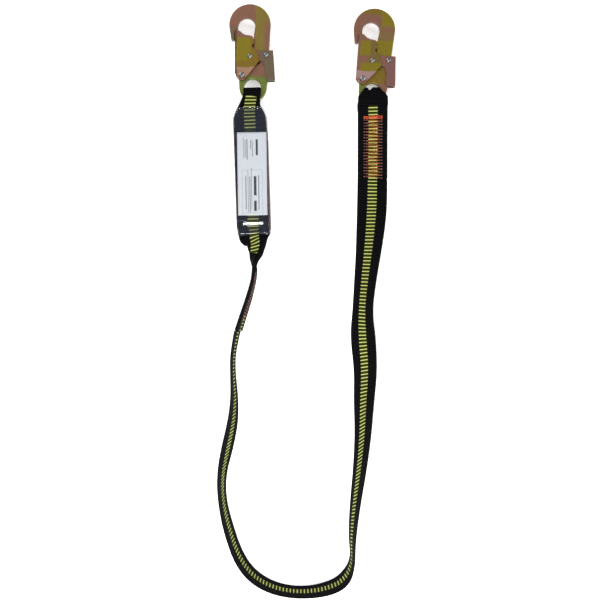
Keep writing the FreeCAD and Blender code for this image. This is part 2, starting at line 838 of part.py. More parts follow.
def hook_strap():
    """Top end of the tear webbing: it leaves the sleeve, loops through the hook's eye and returns."""
    s = sizes
    top = number(pack_top)
    shoulder = top - number(s.shoulder_length)
    start = fold_ends()[1]
    high = layer_level(int(number(s.tear_layers)) - 1)
    low = layer_level(0)
    level = number(hook_level)
    thickness = tear_thickness()
    half_gap = number(s.loop_inner_radius) + thickness / 2
    swing_at = top + number(s.pack_hook_reach)
    mouth = number(s.top_mouth_width - s.sleeve_wall * 2) - 2.4
    full = number(s.webbing_width)
    narrow = number(s.loop_width)
    mouth_high = high - number(s.mouth_inset) - 1.2
    shift = number(s.pack_hook_shift)
    upper = [(0, start, high, full), (0, shoulder - 2, high, full), (0, top - 1, mouth_high, mouth),
             (shift * 0.6, swing_at - 9, level + half_gap + 0.9, narrow + 6)]
    lower = [(shift * 0.6, swing_at - 9, level - half_gap + 0.3, narrow + 6),
             (0, top - 1, low + 0.2, mouth), (0, shoulder - 2, low, full), (0, start, low, full)]
    swing = Vector(shift, swing_at, level)
    sections = leg_sections(upper) + loop_arc(swing, half_gap, -s.pack_tilt) + leg_sections(lower)
    strap = strap_solid(sections, thickness)
    add_solid("hook_strap", strap, (0, 0, 0, s.pack_tilt))


# ---------------------------------------------------------------- lanyard strap
def sewn_loop():
    """Doubled, sewn webbing under the absorber; it twists from flat to standing on edge."""
    s = sizes
    doubled = number(s.webbing_thickness * 2 + s.layer_gap)
    full = number(s.webbing_width)
    lift = number(s.stitch_thickness) + 0.1
    start = pack_point(0, fold_ends()[0], 0)
    mouth = pack_point(0, -number(pack_top) - 1, 0)
    middle = number(s.pack_thickness) / 2
    points = [(start.x, start.y, 0), (mouth.x, mouth.y, 8)] + SEWN_LOOP_BENDS
    stations, path, radii = strap_stations(points)
    sections = []
    leave = (mouth - start).Length
    settle = math.hypot(points[4][0] - start.x, points[4][1] - start.y)
    for point, along, lean in stations:
        resting = resting_level(lean, full, doubled, lift)
        gone = math.hypot(point.x - start.x, point.y - start.y)
        share = min(max((gone - leave) / (settle - leave), 0.0), 1.0)
        level = middle * (1 - share) + max(resting, middle) * share
        width = full - 4 * (1 - share)
        sections.append(leaning_section(point, along, lean, max(level, resting), width))
    add_solid("sewn_loop", strap_solid(sections, doubled))
    return sections, doubled


def edge_stitching(sections, doubled):
    """Rows of thread on both faces of the doubled webbing below the absorber."""
    s = sizes
    thread = number(s.stitch_thickness)
    sewn = [section for section in sections
            if section.centre.y < STRAP_ROUTE[0][1] + number(s.loop_stitch_length) + 24]
    sewn = sewn[:-1]
    offset = (doubled + thread) / 2
    rows = [strap_solid(sewn, thread, side * offset, number(s.stitch_width)) for side in (-1, 1)]
    add_solid("sewn_loop_stitching", Part.makeCompound(rows))


def lanyard_webbing():
    """The free strap between the two sewn loops."""
    s = sizes
    width = number(s.webbing_width)
    thickness = number(s.webbing_thickness)
    lift = number(s.stitch_thickness) + 0.1
    stations, path, radii = strap_stations(STRAP_ROUTE)
    sections = [leaning_section(point, along, lean, resting_level(lean, width, thickness, lift), width)
                for point, along, lean in stations]
    strap = strap_solid(sections, thickness)
    add_solid("lanyard_webbing", strap)
    print("strap length", round(path.Length, 1), "radii", [round(radius) for radius in radii])
    expected = path.Length * width * thickness
    print("strap volume", round(strap.Volume), "section times length", round(expected))


def hook_loop():
    """Far end of the strap: it passes through the second hook's eye and is sewn back on itself."""
    s = sizes
    width = number(s.webbing_width)
    thickness = number(s.webbing_thickness)
    thread = number(s.stitch_thickness)
    level = number(hook_level)
    half_gap = number(s.loop_inner_radius + s.webbing_thickness / 2)
    reach = number(s.end_hook_reach)
    spread = number(s.webbing_thickness + s.layer_gap)
    ground = thickness / 2 + thread + 0.1
    stitched = number(s.end_stitch_length)
    shift = end_hook_swing.x - STRAP_ROUTE[-1][0]
    lower = [(0, 0, ground, width), (0, stitched * 0.45, ground, width), (0, stitched * 0.72, 3.2, width),
             (0, stitched, 6.6, width), (shift, reach - 9, level - half_gap + 0.1, width - 2)]
    upper = [(x, y, z + spread, wide) for x, y, z, wide in lower[:-1]]
    upper.append((shift, reach - 9, level + half_gap - 0.9, width - 2))
    arc = loop_arc(Vector(shift, reach, level), half_gap, s.end_hook_turn)
    legs = [leg_sections(upper), leg_sections(lower[::-1])]
    strap = strap_solid(legs[0] + arc + legs[1], thickness)
    origin = (STRAP_ROUTE[-1][0], STRAP_ROUTE[-1][1], 0, 0)
    add_solid("hook_loop", strap, origin)
    rows = []
    for leg in legs:
        sewn = [section for section in leg if section.centre.y < stitched + 1]
        end = sewn[0] if leg is legs[0] else sewn[-1]
        end.centre = end.centre + Vector(0, 1.5, 0)
        rows.append(strap_solid(sewn, thread, (thickness + thread) / 2, number(s.stitch_width)))
    add_solid("hook_loop_stitching", Part.makeCompound(rows), origin)


# ---------------------------------------------------------------- build and write
absorber_sleeve()
absorber_label()
tear_webbing()
hook_strap()
loop_sections, loop_thickness = sewn_loop()
edge_stitching(loop_sections, loop_thickness)
lanyard_webbing()
hook_loop()
for hook_name, (hook_place, hook_angle) in HOOKS.items():
    snap_hook(hook_name, hook_place, hook_angle)
doc.recompute()

for item in doc.Objects:
    if "Invalid" in item.State or "Error" in item.State:
        raise RuntimeError(f"{item.Label} failed: {item.State}")
for item in parts:
    if item.Shape.isNull() or not item.Shape.isValid():
        raise RuntimeError(f"{item.Label} has no valid shape")

os.makedirs("parts", exist_ok=True)
for item in parts:
    item.Shape.exportStep(os.path.join("parts", f"{item.Label}.step"))
    box = item.Shape.BoundBox
    print(f"{item.Label:26s} {len(item.Shape.Solids)} solid(s) {item.Shape.Volume:10.1f} mm3 "
          f"z {box.ZMin:6.2f} to {box.ZMax:6.2f}")
for hook_name, (hook_place, hook_angle) in HOOKS.items():
    print(hook_name, "gate rivet at", hook_place)
print("swing axes at", pack_hook_swing, end_hook_swing)
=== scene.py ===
# %% [markdown]
# # A shock absorbing lanyard, laid out flat
# A worker's lanyard is a strap with a snap hook at each end.  Next to one hook sits the energy
# absorber, a stack of folded webbing in a clear shrink sleeve.  The hooks are plated steel and
# come from the CAD model as they are.  Everything woven is made here, because cloth shows its
# weave, its folds and its stitches, and a CAD solid has none of them.

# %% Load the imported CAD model
import copy
import math
import random
import bpy
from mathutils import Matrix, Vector


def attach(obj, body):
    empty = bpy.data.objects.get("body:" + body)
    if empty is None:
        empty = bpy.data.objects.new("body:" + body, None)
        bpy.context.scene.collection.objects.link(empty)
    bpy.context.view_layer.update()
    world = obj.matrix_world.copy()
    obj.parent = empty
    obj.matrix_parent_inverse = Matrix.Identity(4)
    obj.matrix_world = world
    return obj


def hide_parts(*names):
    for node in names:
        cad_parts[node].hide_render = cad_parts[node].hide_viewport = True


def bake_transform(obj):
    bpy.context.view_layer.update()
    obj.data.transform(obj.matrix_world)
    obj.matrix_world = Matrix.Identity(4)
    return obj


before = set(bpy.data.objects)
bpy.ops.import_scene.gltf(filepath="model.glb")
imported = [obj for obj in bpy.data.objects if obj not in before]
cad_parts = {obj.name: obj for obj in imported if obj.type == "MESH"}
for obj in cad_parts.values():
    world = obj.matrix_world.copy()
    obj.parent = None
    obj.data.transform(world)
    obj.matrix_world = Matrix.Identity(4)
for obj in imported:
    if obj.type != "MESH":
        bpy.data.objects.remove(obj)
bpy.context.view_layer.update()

# %% [markdown]
# ## Camera
# The lanyard lies on a table and a camera with a normal lens looks straight down on it.  It is
# only 1.3 m away, so a strap that stands on its edge shows a little of its side wherever it is
# far from the middle of the view.  An orthographic camera would lose that.

# %% Camera
CAMERA_HEIGHT = 1.300
SEEN_WIDTH = 0.876          # metres across the view, at the height of the hooks
HOOK_LEVEL = 0.020
SENSOR_WIDTH = 36.0         # millimetres

camera = bpy.data.objects.new("camera", bpy.data.cameras.new("camera"))
camera.data.sensor_width = SENSOR_WIDTH
camera.data.lens = SENSOR_WIDTH * (CAMERA_HEIGHT - HOOK_LEVEL) / SEEN_WIDTH
camera.data.clip_end = 20.0
camera.location = (0.0696, -0.1876, CAMERA_HEIGHT)
bpy.context.scene.collection.objects.link(camera)
bpy.context.scene.camera = camera
print(f"lens {camera.data.lens:.1f} mm")

# %% [markdown]
# ## The route of the strap
# The strap leaves the sewn end below the absorber standing on its edge, swings round in a wide
# bend and comes up again on the right, where it turns over until it lies flat.  Each row is one
# control point of a NURBS spline: x, y and the lean of the strap's width, in metres and degrees.
# 90 degrees is on edge and 180 is flat.  The rows follow the strap of the CAD model, nudged by
# up to 2 mm and 8 degrees so that the outline falls where the real strap's does.  A second
# spline, half a strap's width away, carries the upper edge, and the two together say how the
# strap is turned at any place.

# %% Strap route
MM = 0.001
STRAP_WIDTH = 44 * MM
STRAP_THICKNESS = 2.2 * MM
LIFT = 0.5 * MM

STRAP_ROUTE = [
    (-0.0214, -0.2327, 97), (-0.0283, -0.2635, 95), (-0.0282, -0.2957, 94), (-0.0258, -0.3307, 99),
    (-0.0284, -0.3672, 107), (-0.0368, -0.4052, 110), (-0.0448, -0.4431, 103),
    (-0.0440, -0.4796, 99), (-0.0354, -0.5190, 102), (-0.0195, -0.5650, 102),
    (0.0025, -0.5928, 99), (0.0361, -0.6100, 95), (0.0769, -0.6147, 94), (0.1176, -0.6070, 99),
    (0.1380, -0.5918, 102), (0.1466, -0.5691, 94), (0.1453, -0.5424, 98), (0.1470, -0.5117, 102),
    (0.1511, -0.4752, 106), (0.1568, -0.4329, 111), (0.1614, -0.3847, 118),
    (0.1628, -0.3365, 127), (0.1656, -0.2898, 135), (0.1618, -0.2431, 143),
    (0.1606, -0.2051, 126), (0.1644, -0.1628, 131), (0.1698, -0.1190, 141),
    (0.1743, -0.0737, 158), (0.1763, -0.0402, 174), (0.1768, -0.0095, 180),
]
UP = Vector((0, 0, 1))


def resting_height(lean):
    """Height of the middle of a leaning strap whose lower edge lies on the table."""
    tilt = math.radians(lean)
    across = STRAP_WIDTH / 2 * abs(math.sin(tilt))
    return across + STRAP_THICKNESS / 2 * abs(math.cos(tilt)) + LIFT


def upper_edge(middles, leans):
    """Control points of the upper edge of a leaning strap, half its width from its middle."""
    edges = []
    for place, (middle, lean) in enumerate(zip(middles, leans)):
        before = middles[max(place - 1, 0)]
        after = middles[min(place + 1, len(middles) - 1)]
        side = UP.cross(after - before).normalized()
        tilt = math.radians(lean)
        edges.append(middle + (side * math.cos(tilt) + UP * math.sin(tilt)) * STRAP_WIDTH / 2)
    return edges


def smooth(rows, fineness=40):
    """Points of the NURBS spline whose control points are the rows, three numbers each."""
    curve = bpy.data.curves.new("guide", "CURVE")
    curve.dimensions = "3D"
    curve.resolution_u = fineness
    spline = curve.splines.new("NURBS")
    spline.points.add(len(rows) - 1)
    for point, row in zip(spline.points, rows):
        point.co = (*row, 1.0)
    spline.order_u = 3
    spline.use_endpoint_u = True
    holder = bpy.data.objects.new("guide", curve)
    line = bpy.data.meshes.new_from_object(holder)
    points = [vertex.co.copy() for vertex in line.vertices]
    bpy.data.objects.remove(holder)
    bpy.data.meshes.remove(line)
    bpy.data.curves.remove(curve)
    return points


def evenly(tracks, step):
    """Walk along the first track in equal steps, counted in whole steps, and read every track."""
    runs = [0.0]
    for before, after in zip(tracks[0], tracks[0][1:]):
        runs.append(runs[-1] + (after - before).length)
    count = max(2, round(runs[-1] / step))
    walked = []
    place = 0
    for number in range(count + 1):
        run = runs[-1] * number / count
        while place < len(runs) - 2 and runs[place + 1] < run:
            place += 1
        share = (run - runs[place]) / (runs[place + 1] - runs[place])
        walked.append((number * step,
                       [track[place].lerp(track[place + 1], share) for track in tracks]))
    return walked


# %% [markdown]
# ## Weaving a strap
# A strap is a long row of cross-sections.  Its pattern is a ladder: yellow rungs of raised yarn
# lie across the middle, one every 5.2 mm.  Five rows of points go to every rung, so that the
# rungs really stand up from the black cloth.  The flat cloth's own measures, along and across in
# millimetres, are kept as a UV map that the material reads, and so the colours fall exactly on
# the raised rows.  Where a strap is gathered to go through an eye, its middle stays flat and its
# edges draw in and curl under.

# %% Strap helper
RUNG_PITCH = 5.2            # millimetres, as are the heights and widths below
RUNG_HEIGHT = 0.24
RUNG_HALF = 7.0             # half of the ladder's width
WARP_RIPPLE = 0.05          # height of the ripple that the lengthwise yarns make
RIPPLE_RATE = 2.4           # radians for every millimetre across
EDGE_SHARE = 0.55           # how thick the edge is, as a share of the middle
FULL = 22.0                 # half of the flat cloth's width
FLAT_CORE = 9.0             # half of the middle that stays flat where the cloth is gathered
CREASE_PLACE = -3.6
CREASE_HALF = 2.6
ROW = RUNG_PITCH / 5 * MM
ACROSS = 26                 # strips across one face


class Cut:
    """One cross-section of a strap: its middle, directions, half width, curl and dent."""

    def __init__(self, run, middle, across, half=FULL, curl=0.0, dent=0.0):
        self.run = run
        self.middle = middle
        self.across = across
        self.half = half
        self.curl = curl
        self.dent = dent
        self.along = None
        self.normal = None


def square_up(cuts):
    """Give every cut its direction of travel and the direction out of its upper face."""
    for place, cut in enumerate(cuts):
        before = cuts[max(place - 1, 0)].middle
        after = cuts[min(place + 1, len(cuts) - 1)].middle
        cut.along = (after - before).normalized()
        cut.across = (cut.across - cut.along * cut.across.dot(cut.along)).normalized()
        cut.normal = cut.across.cross(cut.along).normalized()
    return cuts


def hump(run, middle, width):
    """A soft hump of height one about a place."""
    return math.exp(-((run - middle) / width) ** 2)


def cloth_point(cut, across, height):
    """Where a point of the cloth lies; across and height are millimetres on the flat cloth."""
    core = min(FLAT_CORE, cut.half * 0.7)
    side = min(max(abs(across) - core, 0.0) / (FULL - core), 1.0)
    place = min(abs(across), core) + side * (cut.half - core)
    sunk = cut.curl * side * side
    crease = cut.dent * hump(math.copysign(place, across), CREASE_PLACE, CREASE_HALF)
    middle = cut.middle + cut.across * math.copysign(place, across) * MM
    flatness = cut.normal.z * abs(cut.normal.z)
    sinking = cut.normal * (1 - abs(flatness)) + UP * flatness
    return middle + (cut.normal * height - sinking * sunk - Vector((0, crease, 0))) * MM


def rung_height(run, across, rung_half):
    """How far the yarn stands up from the cloth at a place, in millimetres."""
    if abs(across) < rung_half:
        return RUNG_HEIGHT * max(0.0, -math.cos(2 * math.pi * run / RUNG_PITCH))
    return WARP_RIPPLE * math.sin(across * RIPPLE_RATE) if abs(across) < FULL - 1 else 0.0


def tube_faces(rings, size, first=0, closed=True):
    """Faces round rings of points that follow one another, and over both ends of a closed tube."""
    faces = [tuple(range(first, first + size))[::-1]] if closed else []
    for ring in range(rings - 1):
        here = first + ring * size
        for place in range(size):
            after = (place + 1) % size
            faces.append((here + place, here + after, here + size + after, here + size + place))
    if closed:
        last = first + (rings - 1) * size
        faces.append(tuple(range(last, last + size)))
    return faces


def add_mesh(name, points, faces, cloth=None):
    """A smooth mesh object; cloth gives each point its place on the flat cloth."""
    mesh = bpy.data.meshes.new(name)
    mesh.from_pydata(points, [], faces)
    if cloth:
        layer = mesh.uv_layers.new(name="cloth")
        for loop in mesh.loops:
            layer.data[loop.index].uv = cloth[loop.vertex_index]
    mesh.shade_smooth()
    mesh.update()
    piece = bpy.data.objects.new(name, mesh)
    bpy.context.scene.collection.objects.link(piece)
    return piece


def weave(name, cuts, thickness=STRAP_THICKNESS / MM, offset=0.0, start=0.0, rung_half=RUNG_HALF,
          skew=None, hidden=None, plain=False):
    """A closed strap through all the cuts, its ladder starting start millimetres along.

    skew tells how the rungs tilt at a run, and hidden where the ladder doesn't show.
    """
    half_up = thickness / 2
    steps = [-FULL + 2 * FULL * step / ACROSS for step in range(ACROSS + 1)]
    points = []
    cloth = []
    covered = []
    for cut in cuts:
        run = cut.run / MM + start
        cover_share = 1.0 if plain else hidden(cut.run / MM) if hidden else 0.0
        for side, order in ((1, steps), (-1, steps[::-1])):
            for place, across in enumerate(order):
                edge = place in (0, ACROSS)
                woven = run + (skew(cut.run / MM) * across if skew else 0.0)
                raised = 0.0 if edge or cover_share else rung_height(woven, across, rung_half)
                level = half_up * (EDGE_SHARE if edge else 1.0) + raised
                points.append(cloth_point(cut, across, side * level + offset))
                cloth.append((woven, across))
                covered.append(cover_share)
    piece = add_mesh(name, points, tube_faces(len(cuts), 2 * (ACROSS + 1)), cloth)
    piece.data.attributes.new("covered", "FLOAT", "POINT").data.foreach_set("value", covered)
    print(f"{name}: {cuts[-1].run / MM:.0f} mm of webbing, {len(points)} points")
    return piece


def settle(piece, replaced=None):
    """Put a piece on the lanyard's body and let it stand in for the CAD part it replaces, if any."""
    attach(piece, "lanyard")
    if replaced:
        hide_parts(replaced)


# %% [markdown]
# ## The long strap
# The free strap runs from the sewn end round to the loop at the second hook.  Where it has been
# twisted, its rungs lie a little askew, and one soft curve says by how much at each place.

# %% Long strap
strap_middles = [Vector((x, y, resting_height(lean))) for x, y, lean in STRAP_ROUTE]
strap_edges = upper_edge(strap_middles, [row[2] for row in STRAP_ROUTE])
strap_cuts = []
for run, (middle, edge) in evenly([smooth(strap_middles), smooth(strap_edges)], ROW):
    strap_cuts.append(Cut(run, middle, middle - edge))
square_up(strap_cuts)


def strap_skew(run):
    """How askew the rungs of the long strap lie, as a slope."""
    return 0.32 * hump(run, 200, 90) + 0.55 * hump(run, 690, 110)


strap = weave("long_strap", strap_cuts, skew=strap_skew)
settle(strap, "lanyard_webbing")

# %% [markdown]
# ## The sewn end below the absorber
# The strap comes out of the sleeve flat and doubled, and turns on to its edge within a hand's
# width.  Both layers are woven.  The outer one carries on as the long strap, and the inner one
# is cut off and sealed a little past the stitching.  The absorber lies a little turned, so places
# on it are worked out in its own directions first.

# %% Sewn end
PACK_TILT = math.radians(1.9)


def on_pack(x, y, z):
    """A place given in the absorber's own directions, in millimetres."""
    return Vector((x * math.cos(PACK_TILT) - y * math.sin(PACK_TILT),
                   x * math.sin(PACK_TILT) + y * math.cos(PACK_TILT), z)) * MM


SEWN_ROUTE = [      # x and y in metres, then height, lean in degrees, half width and curl
    (0.0021, -0.0835, 14.5, 0, 23.6, 0), (0.0025, -0.0925, 14.8, 3, 23.2, 0),
    (0.0036, -0.0985, 15.6, 8, 22.0, 1), (0.0054, -0.1055, 17.5, 18, 15.4, 5),
    (0.0046, -0.1110, 18.8, 24, 13.6, 8), (0.0042, -0.1175, 19.8, 36, 12.2, 7),
    (0.0024, -0.1250, 21.0, 58, 12.2, 4.2), (0.0014, -0.1320, 22.2, 79, 15.4, 4),
    (0.0018, -0.1400, 22.7, 89, 18.5, 3.6), (0.0024, -0.1500, 22.7, 92, 21.6, 1.4),
    (0.0009, -0.1643, 22.7, 93, 22.0, 0), (-0.0050, -0.1862, 22.7, 95, 22.0, 0),
    (-0.0122, -0.2080, 22.7, 96, 22.0, 0), (-0.0200, -0.2325, 22.7, 97, 22.0, 0),
]


def standing_cuts(route):
    """Cuts of a strap whose control points also give its height, half width and curl."""
    middles = [Vector((row[0], row[1], row[2] * MM)) for row in route]
    edges = upper_edge(middles, [row[3] for row in route])
    shapes = [Vector((*row[4:], 0)) for row in route]
    walked = evenly([smooth(middles), smooth(edges), smooth(shapes)], ROW)
    return square_up([Cut(run, middle, middle - edge, shape.x, shape.y)
                      for run, (middle, edge, shape) in walked])


def mouth_skew(run):
    """How askew the rungs lie where the strap is twisted, just below the absorber."""
    return -0.26 * hump(run, 24, 16)


def oversewn(run):
    """One where the doubled strap shows no ladder, and nought elsewhere."""
    return 1.0 if 37 < run < 130 else 0.0


sewn_cuts = standing_cuts(SEWN_ROUTE)
LAYER_STEP = 1.2            # millimetres from the middle of the doubled strap to one layer
sewn_layers = []
for side_name, offset in (("outer", LAYER_STEP), ("inner", -LAYER_STEP)):
    layer = weave(f"sewn_end_{side_name}_layer", sewn_cuts, offset=offset, skew=mouth_skew,
                  hidden=oversewn, start=1.3)
    settle(layer, "sewn_loop")
    sewn_layers.append(layer)

# %% [markdown]
# ## The loop at the absorber's own hook
# The top layer of the folded webbing leaves the sleeve, narrows, goes through the eye of the
# hook and comes back underneath. Its control points give place, half width, how far the edges
# curl under and how deep a dent is, so one more spline carries the last three.

# %% Loop through the first hook
PACK_LOOP = [       # x, y, height, half width, curl and dent, all in millimetres
    (-0.9, 58.5, 26.2, 24.2, 0, 0), (-0.9, 69, 26.2, 24.2, 0, 0), (-1, 79, 26, 23.2, 0.3, 0),
    (-1, 87, 24.2, 20.2, 1, 0), (-0.6, 93.5, 22.8, 17.3, 1.8, 0), (0.2, 100, 21.6, 14.6, 2, 0),
    (1.6, 106, 21, 12.8, 1.2, 0), (3, 112, 20.9, 12.2, 0.4, 0), (3.6, 118.5, 19.8, 12.3, 0, 0),
    (3.7, 122.4, 16.4, 11.9, 0, 0), (3.7, 122.8, 11, 11.3, 0, 0), (3.7, 122.4, 5.6, 11.4, 0, 0),
    (3.4, 118.5, 2.2, 11.8, 0, 0), (2.6, 112, 1.7, 12, 0, 0), (1.2, 106, 1.7, 12.4, 0, 0),
    (0, 100, 1.7, 13.8, 0, 0), (-0.8, 93.5, 1.9, 16, 0, 0), (-1, 87, 2.2, 19, 0, 0),
    (-0.9, 79, 2.3, 22.4, 0, 0), (-0.9, 66, 2.3, 23.8, 0, 0), (-0.9, 58.5, 2.3, 23.8, 0, 0),
]


def loop_cuts(rows, place, across):
    """Cuts of a strap that loops through an eye; place turns a row's place into the room's."""
    middles = [place(*row[:3]) for row in rows]
    shapes = [Vector(row[3:]) for row in rows]
    return square_up([Cut(run, middle, across.copy(), *shape)
                      for run, (middle, shape) in evenly([smooth(middles), smooth(shapes)], ROW)])


def eye_skew(run):
    """How askew the rungs lie where the loop draws sideways towards the eye."""
    return -0.20 * hump(run, 47, 12)


pack_across = on_pack(1, 0, 0).normalized()
pack_loop_cuts = loop_cuts(PACK_LOOP, on_pack, pack_across)
TEAR_RUNG_HALF = 8.3        # the tear webbing's ladder is a little wider than the strap's
pack_loop = weave("absorber_hook_loop", pack_loop_cuts, rung_half=TEAR_RUNG_HALF, start=3.4,
                  skew=eye_skew)
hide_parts("hook_strap")
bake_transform(pack_loop)

# %% [markdown]
# ## The loop at the second hook
# Here the end of the strap fans out to its full width right behind the eye, lies back on the
# strap and is sewn to it over 92 mm.  A sharp crease runs over its top.

# %% Loop through the second hook
END_LOOP = [        # x, y, height, half width, curl and dent, all in millimetres
    (1, 0, 4.1, 21.4, 0, 0), (1, 40, 4.1, 21.4, 0, 0), (1, 66, 5.6, 21.4, 0, 0),
    (0.8, 88, 9.4, 21.4, 0, 0), (0.4, 98, 14, 21.4, 0, 0), (0.1, 106, 19, 21.4, 0, 0),
    (-0.2, 114, 21.2, 21.4, 0, 0), (-0.4, 119, 21, 21.3, 0, 0.5), (-0.5, 123, 20.2, 18.2, 0, 2),
    (-0.6, 127, 19.2, 14.4, 0, 3.5), (-0.6, 130.8, 17.8, 11, 0, 4.5), (-0.6, 132.8, 14, 9.9, 0, 4.5),
    (-0.6, 132.8, 8, 9.9, 0, 4), (-0.6, 130.8, 4.6, 10.4, 0, 3), (-0.6, 126.5, 2.4, 13, 0, 1.5),
    (-0.5, 121, 1.8, 17.4, 0, 0.5), (-0.2, 114, 1.7, 21.4, 0, 0), (0, 106, 1.8, 21.4, 0, 0),
    (0, 98, 2.6, 21.4, 0, 0), (0, 88, 4.6, 21.4, 0, 0), (0, 66, 3, 21.4, 0, 0),
    (0, 40, 1.6, 21.4, 0, 0), (0, 0, 1.6, 21.4, 0, 0),
]
END_TURN = math.radians(-4.5)


def at_strap_end(x, y, z):
    """A place given from the end of the long strap, in millimetres."""
    return Vector((x + 176.3, y - 9.5, z)) * MM


end_across = Vector((1, 0, 0))
end_loop_cuts = loop_cuts(END_LOOP, at_strap_end, end_across)
end_loop = weave("end_hook_loop", end_loop_cuts, start=0.6)
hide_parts("hook_loop")
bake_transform(end_loop)

# %% [markdown]
# ## Wear sleeves
# Where webbing rubs on steel, a maker slips a short tube of plain black cloth over it.  It
# covers the ladder pattern near the eye.  Here it is one more closed strap over the same cuts, a
# little thicker and wider than the one inside it.

# %% Wear sleeves
COVER_THICKNESS = 3.1       # millimetres over both walls and the strap between them
COVER_SPARE = 0.5


def cover(name, cuts, before, after):
    """A plain cloth cover that leaves some millimetres of the loop bare before and after it."""
    last = cuts[-1].run / MM - after
    chosen = []
    for cut in cuts:
        if before <= cut.run / MM <= last:
            wider = copy.copy(cut)
            wider.half += COVER_SPARE
            chosen.append(wider)
    made = weave(name, chosen, thickness=COVER_THICKNESS, plain=True)
    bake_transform(made)
    return made


pack_cover = cover("absorber_hook_wear_sleeve", pack_loop_cuts, 51, 46)
end_cover = cover("end_hook_wear_sleeve", end_loop_cuts, 108.5, 101)

# %% [markdown]
# ## The folded webbing
# Inside the sleeve the tear webbing is folded to and fro, eleven layers deep.  One long zigzag
# of cuts makes the whole stack, with a tight half turn at every fold.  Each layer lies a hair
# farther to the right than the one above it, so the brown edges show.

# %% Folded webbing
LAYERS = 11
LAYER_PITCH = 2.4           # millimetres, as is all that follows
LAYER_THICKNESS = 2.0
LAYER_STEPS = 128           # cuts along one layer
FIRST_LEVEL = 2.2
FOLD_LOW = -82.0
FOLD_HIGH = 57.4
FOLD_REACH = 0.9
STACK_HALF = 24.1            # webbing that is pressed flat spreads a little
STACK_SHIFT = -0.9
LAYER_SHIFT = 0.12


def stack_rows():
    """Middles of the folded webbing, layer by layer from the top, in millimetres."""
    rows = []
    for layer in reversed(range(LAYERS)):
        level = FIRST_LEVEL + layer * LAYER_PITCH
        ends = (FOLD_HIGH, FOLD_LOW) if layer % 2 == 0 else (FOLD_LOW, FOLD_HIGH)
        shift = STACK_SHIFT + (LAYERS - 1 - layer) * LAYER_SHIFT
        for number in range(LAYER_STEPS + 1):
            y = ends[0] + (ends[1] - ends[0]) * number / LAYER_STEPS
            rows.append((shift, y, level))
        if layer:
            reach = FOLD_REACH if ends[1] == FOLD_HIGH else -FOLD_REACH
            for share in (0.25, 0.75):
                rows.append((shift, ends[1] + reach, level - LAYER_PITCH * share))
    return rows


stack_cuts = []
stack_run = 0.0
stack_places = [on_pack(*row) for row in stack_rows()]
for number, place in enumerate(stack_places):
    if number:
        stack_run += (place - stack_places[number - 1]).length
    stack_cuts.append(Cut(stack_run, place, pack_across.copy(), STACK_HALF))
square_up(stack_cuts)
folded = weave("folded_tear_webbing", stack_cuts, thickness=LAYER_THICKNESS, rung_half=TEAR_RUNG_HALF)
settle(folded, "tear_webbing")

# %% [markdown]
# ## Label
# A paper label lies on the stack under the film.  What is printed on it comes with its material.

# %% Label
LABEL_HALF_WIDTH = 21.3
LABEL_LOW = -64.7
LABEL_HIGH = 55.9
LABEL_LEVEL = 27.95
LABEL_TURN = 0.018          # it went in a little crooked
LABEL_SHIFT = 0.2
PAPER_HALF = 0.10
PAPER_WAVE = 0.04


def sheet_of_paper(name, rows=40, columns=16):
    """A thin closed sheet of paper with a slight wave in it."""
    steps = [LABEL_HALF_WIDTH * (2 * column / columns - 1) for column in range(columns + 1)]
    points = []
    cloth = []
    for row in range(rows + 1):
        y = LABEL_LOW + (LABEL_HIGH - LABEL_LOW) * row / rows
        for side, order in ((PAPER_HALF, steps), (-PAPER_HALF, steps[::-1])):
            for x in order:
                wave = PAPER_WAVE * (math.sin(y * 0.11) + math.sin(x * 0.23 + 1.0))
                points.append(on_pack(x + LABEL_SHIFT + y * LABEL_TURN, y - x * LABEL_TURN,
                                      LABEL_LEVEL + side + wave))
                cloth.append((x, y))
    return add_mesh(name, points, tube_faces(rows + 1, 2 * (columns + 1)), cloth)


label = sheet_of_paper("paper_label")
settle(label, "absorber_label")
print("label", round(2 * LABEL_HALF_WIDTH), "by", round(LABEL_HIGH - LABEL_LOW), "mm")

# %% [markdown]
# ## Clear sleeve
# The sleeve is PVC film that was shrunk on with hot air.  It hugs the stack, draws in over the
# shoulders and keeps a few folds and small waves.  It is built as a row of rounded rings with a
# wave added to each, then given its thickness by a modifier.  The fold near the lower end dies
# out towards both sides, and the underside lies flat.

# %% Clear sleeve
SLEEVE_RINGS = [    # y, half width, underside and top, in millimetres
    (-93.3, 24.2, 1.4, 24.4), (-92.7, 24.6, 0.7, 26.6), (-91.0, 25.1, 0.35, 28.2),
    (-88.0, 25.3, 0.35, 28.6), (-82.0, 25.3, 0.35, 28.2), (-79.8, 25.3, 0.35, 28.4),
    (-77.0, 25.3, 0.35, 29.5), (-74.4, 25.4, 0.35, 30.6), (-73.4, 25.4, 0.35, 30.7),
    (-72.4, 25.3, 0.35, 29.0), (-68.0, 25.3, 0.35, 28.6), (-40.0, 25.3, 0.35, 28.6),
    (0.0, 25.3, 0.35, 28.6), (40.0, 25.3, 0.35, 28.6), (66.0, 25.3, 0.35, 28.6),
    (74.0, 25.3, 0.35, 28.5), (76.4, 25.2, 0.35, 28.7), (77.6, 25.1, 0.35, 29.2),
    (78.4, 24.9, 0.35, 29.2), (79.2, 24.6, 0.4, 28.2), (86.0, 22.4, 0.8, 26.8),
    (90.8, 20.0, 1.1, 25.9), (91.8, 19.6, 1.3, 26.5), (92.6, 19.4, 1.3, 26.6),
    (93.3, 19.4, 1.3, 26.0),
]
CORNER = 3.4
FILM_SHIFT = -0.6           # millimetres, since it was shrunk a little to one side
CORNER_STEPS = 6
FLAT_STEPS = 24
WALL_STEPS = 10
WAVE_HEIGHT = 0.03
FOLD_PLACE = -74.0
FOLD_HALF = 3.5
FOLD_CREST = 13.0           # half of the stretch where the fold keeps its height
